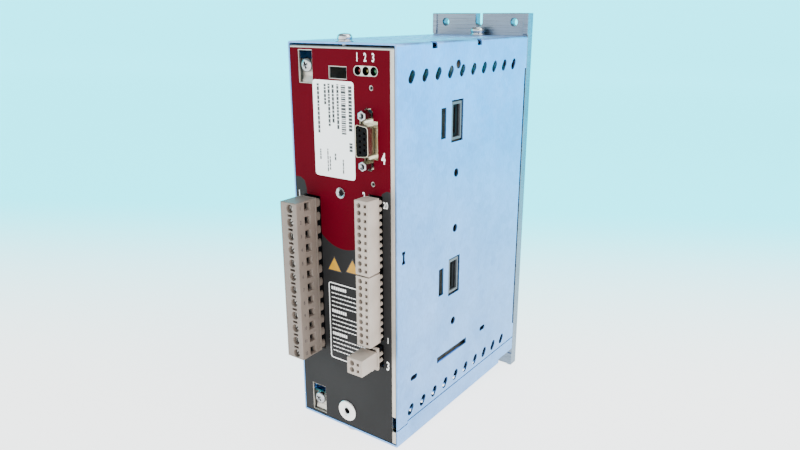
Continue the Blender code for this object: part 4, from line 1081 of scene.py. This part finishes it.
def addTongue(bm, look):
    x, z = tongueSpan(look)
    tongue = bmesh.new()
    addBox(tongue, x, (ahead(look["rim"] + 1.5), ahead(-3.6)), (z[0] + 1.4, z[1] - 1.4))
    rounded(tongue, 0.3, 2)
    bm = carved(bm, tongue, "UNION")
    sleeves = bmesh.new()
    size, centre = look["pin"] + 0.35, sum(x) / 2
    for height in poleHeights(look):
        addBox(sleeves, square(centre, size), (ahead(look["rim"] - 1.2), ahead(-6)), square(height, size))
    return carved(bm, sleeves)


def addWells(bm, look, depth, flare):
    wells, mouths = bmesh.new(), bmesh.new()
    front, radius = ahead(look["reach"]), look["well"]
    for height in poleHeights(look):
        addRod(wells, (look["screwX"], front + depth / 2 - 1, height), radius, depth + 2, sides=28)
        mouth = (look["screwX"], front + flare / 2 - 0.1, height)
        addRod(mouths, mouth, radius - 0.05, flare + 0.2, sides=28, tip=radius + flare)
    return carved(carved(bm, wells), mouths)


# Reaches in front of the panel on the power plug's wire side.
powerSide = {"step": 13.0, "inset": 0.4, "groove": (17.3, 5.5), "bar": (1.7, 0.65, 11), "throat": (12.3, 8.4),
             "mouth": (12.9, 7.7), "waist": (0.68, 0.72), "cage": (12.2, 8.5), "bore": (11.8, 8.9),
             "numeral": (1.9, 16.0)}


def makePowerPlug():
    look = terminals["power"]
    x, y, z = span("power_plug")
    heights = poleHeights(look)
    gaps = [height - look["pitch"] / 2 for height in heights[:-1]]
    front, rear = y[0], ahead(look["rim"] + 0.3)

    def reaches(name):
        return [ahead(reach) for reach in powerSide[name]]

    bm = bmesh.new()
    addBox(bm, x, (front, rear), z)
    rounded(bm, look["edge"], 3)
    shelf = bmesh.new()  # the wire side steps in behind the front strip, and the far side carries grooves
    addBox(shelf, (x[1] - powerSide["inset"], x[1] + 2), (ahead(powerSide["step"]), ahead(0)),
           (z[0] - 1, z[1] + 1))
    for middle in gaps:
        addBox(shelf, (x[0] - 1, x[0] + 0.35), reaches("groove"), square(middle, 0.3))
    bm = addWells(carved(bm, shelf), look, 5.9, 0.3)
    bars = bmesh.new()
    halfX, halfZ, deep = powerSide["bar"]
    for middle in gaps:
        addBox(bars, square(look["screwX"], halfX), (front - 1, front + deep), square(middle, halfZ))
    bm = carved(bm, bars)
    throats, mouths, cages = bmesh.new(), bmesh.new(), bmesh.new()
    centre = sum(reaches("mouth")) / 2
    deepest, waist = x[1] - 1.9, powerSide["waist"]
    for height in heights:
        addBox(throats, (x[1] - 7.4, x[1] + 2), reaches("throat"), square(height, 2.0))
        for vert in addBox(mouths, (deepest, x[1] + 0.2), reaches("mouth"), square(height, 2.5)):
            if vert.co.x < deepest + 1:
                vert.co.y = centre + (vert.co.y - centre) * waist[0]
                vert.co.z = height + (vert.co.z - height) * waist[1]
        shell, bore = bmesh.new(), bmesh.new()
        addBox(shell, (x[1] - 7.2, x[1] - 2.4), reaches("cage"), square(height, 1.9))
        addBox(bore, (x[1] - 6.8, x[1]), reaches("bore"), square(height, 1.5))
        addPart(cages, carved(shell, bore))
    bm = carved(carved(bm, throats), mouths)
    makePiece("power_plug_block", addTongue(bm, look), look["finish"], look["node"], stands=["power_plug"])
    makePiece("power_clamp_cages", cages, "clamp_steel", look["node"])
    marks = bmesh.new()
    size, reach = powerSide["numeral"]
    for pole, height in enumerate(heights, 1):
        addNumeral(marks, str(pole), size, (x[1] + 0.012, ahead(reach), height), "right", 0.8)
    makePiece("power_pole_numbers", marks, "dark_print", look["node"])


def makeSignalPlug(look):  # the relay's plug has the same shape
    x, y, z = span(look["node"])
    front, rear = y[0], ahead(look["rim"] + 0.3)
    bm = bmesh.new()
    addBox(bm, x, (front, rear), z)
    rounded(bm, look["edge"], 3)
    bm = addWells(bm, look, 4.6, 0.2)
    taps = bmesh.new()
    for height in poleHeights(look):
        addBox(taps, square(look["tapX"], look["tap"]), (front - 1, front + look["tapDepth"]),
               square(height, look["tap"]))
        addBox(taps, (x[0] - 1, x[0] + 1.2), [front + depth for depth in look["entry"]], square(height, 1.25))
    bm = addTongue(carved(bm, taps), look)
    makePiece(look["node"] + "_block", bm, look["finish"], look["node"], stands=[look["node"]])


def addClampScrew(bm, centre, radius, length, twist):
    screw, slot = bmesh.new(), bmesh.new()
    outline = [(0, -length), (radius * 0.8, -length), (radius, -length + 0.3), (radius, -0.3),
               (radius * 0.8, 0), (0, 0.08)]
    addTurned(screw, outline, Matrix.Identity(4), 24)
    addBox(slot, (-radius - 1, radius + 1), square(0, radius * 0.22), (-radius * 0.7, 1))
    screw = carved(screw, slot)
    screw.transform(Matrix.Translation(centre) @ turns["Y"] @ spun(twist))
    addPart(bm, screw)


def makeClampScrews():
    twists = {f"power_clamp_screw_{number:02d}": 35 + 47 * number % 90 for number in range(1, 13)}
    twists.update({"relay_clamp_screw_1": 30, "relay_clamp_screw_2": 60})
    for name, twist in twists.items():
        x, y, z = span(name)
        bm = bmesh.new()
        seat = (sum(x) / 2, y[0] + 0.1, sum(z) / 2)
        addClampScrew(bm, seat, (x[1] - x[0]) / 2, y[1] - y[0] - 0.1, twist)
        makePiece(name + "_head", bm, "clamp_steel", name, stands=[name])
    for which, look in (("upper", terminals["signalUpper"]), ("lower", terminals["signalLower"])):
        row = "signal_screws_" + which
        bm = bmesh.new()
        for pole, height in enumerate(poleHeights(look)):
            seat = (look["screwX"], span(row)[1][0] + 0.1, height)
            addClampScrew(bm, seat, 1.05, 2.2, 20 + 50 * pole % 90)
        makePiece(f"signal_screw_heads_{which}", bm, "clamp_steel", look["node"], stands=[row])


for look in terminals.values():
    makeHeader(look)
makePowerPlug()
for name in ("signalUpper", "signalLower", "relay"):
    makeSignalPlug(terminals[name])
makeClampScrews()
print("terminals")


def makeOptionConnectors():
    for which in ("upper", "lower"):
        x, y, z = span("option_connector_" + which)
        middle = sum(y) / 2
        bm, slot, liner, pins = bmesh.new(), bmesh.new(), bmesh.new(), bmesh.new()
        addBox(bm, x, y, z)
        rounded(bm, 0.3, 2)
        addBox(slot, (x[0] + 1.1, x[1] + 2), (y[0] + 1.5, y[1] - 1.5), (z[0] + 1.5, z[1] - 1.5))
        bm = carved(bm, slot)
        makePiece(f"option_socket_{which}", bm, "grey_plastic", stands=["option_connector_" + which])
        addBox(liner, (x[0] + 1.0, x[0] + 1.5), (y[0] + 1.6, y[1] - 1.6), (z[0] + 1.6, z[1] - 1.6))
        addBox(liner, (x[0] + 1.2, x[1] - 0.5), square(middle, 0.9), (z[0] + 3.4, z[1] - 3.4))
        makePiece(f"option_core_{which}", rounded(liner, 0.08, 1), "black_plastic")
        for step in range(10):
            level = z[0] + 4.2 + (z[1] - z[0] - 8.4) * step / 9
            for side in (-1.05, 1.05):
                addBox(pins, (x[0] + 1.6, x[1] - 0.9), square(middle + side, 0.14), square(level, 0.3))
        makePiece(f"option_pins_{which}", pins, "gold_contact")


makeOptionConnectors()

nodeFinishes = {"galvanised_steel": ["rear_bracket"], "circuit_board": ["control_board", "power_board"],
                "black_plastic": ["power_module", "bypass_relay"], "copper_winding": ["filter_choke"],
                "capacitor_sleeve": ["dc_link_capacitor_1", "dc_link_capacitor_2"],
                "ferrite_core": ["transformer"]}
for finish, names in nodeFinishes.items():
    for name in names:
        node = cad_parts[name]
        node.data.materials.clear()
        node.data.materials.append(materials[finish])
print("inside")
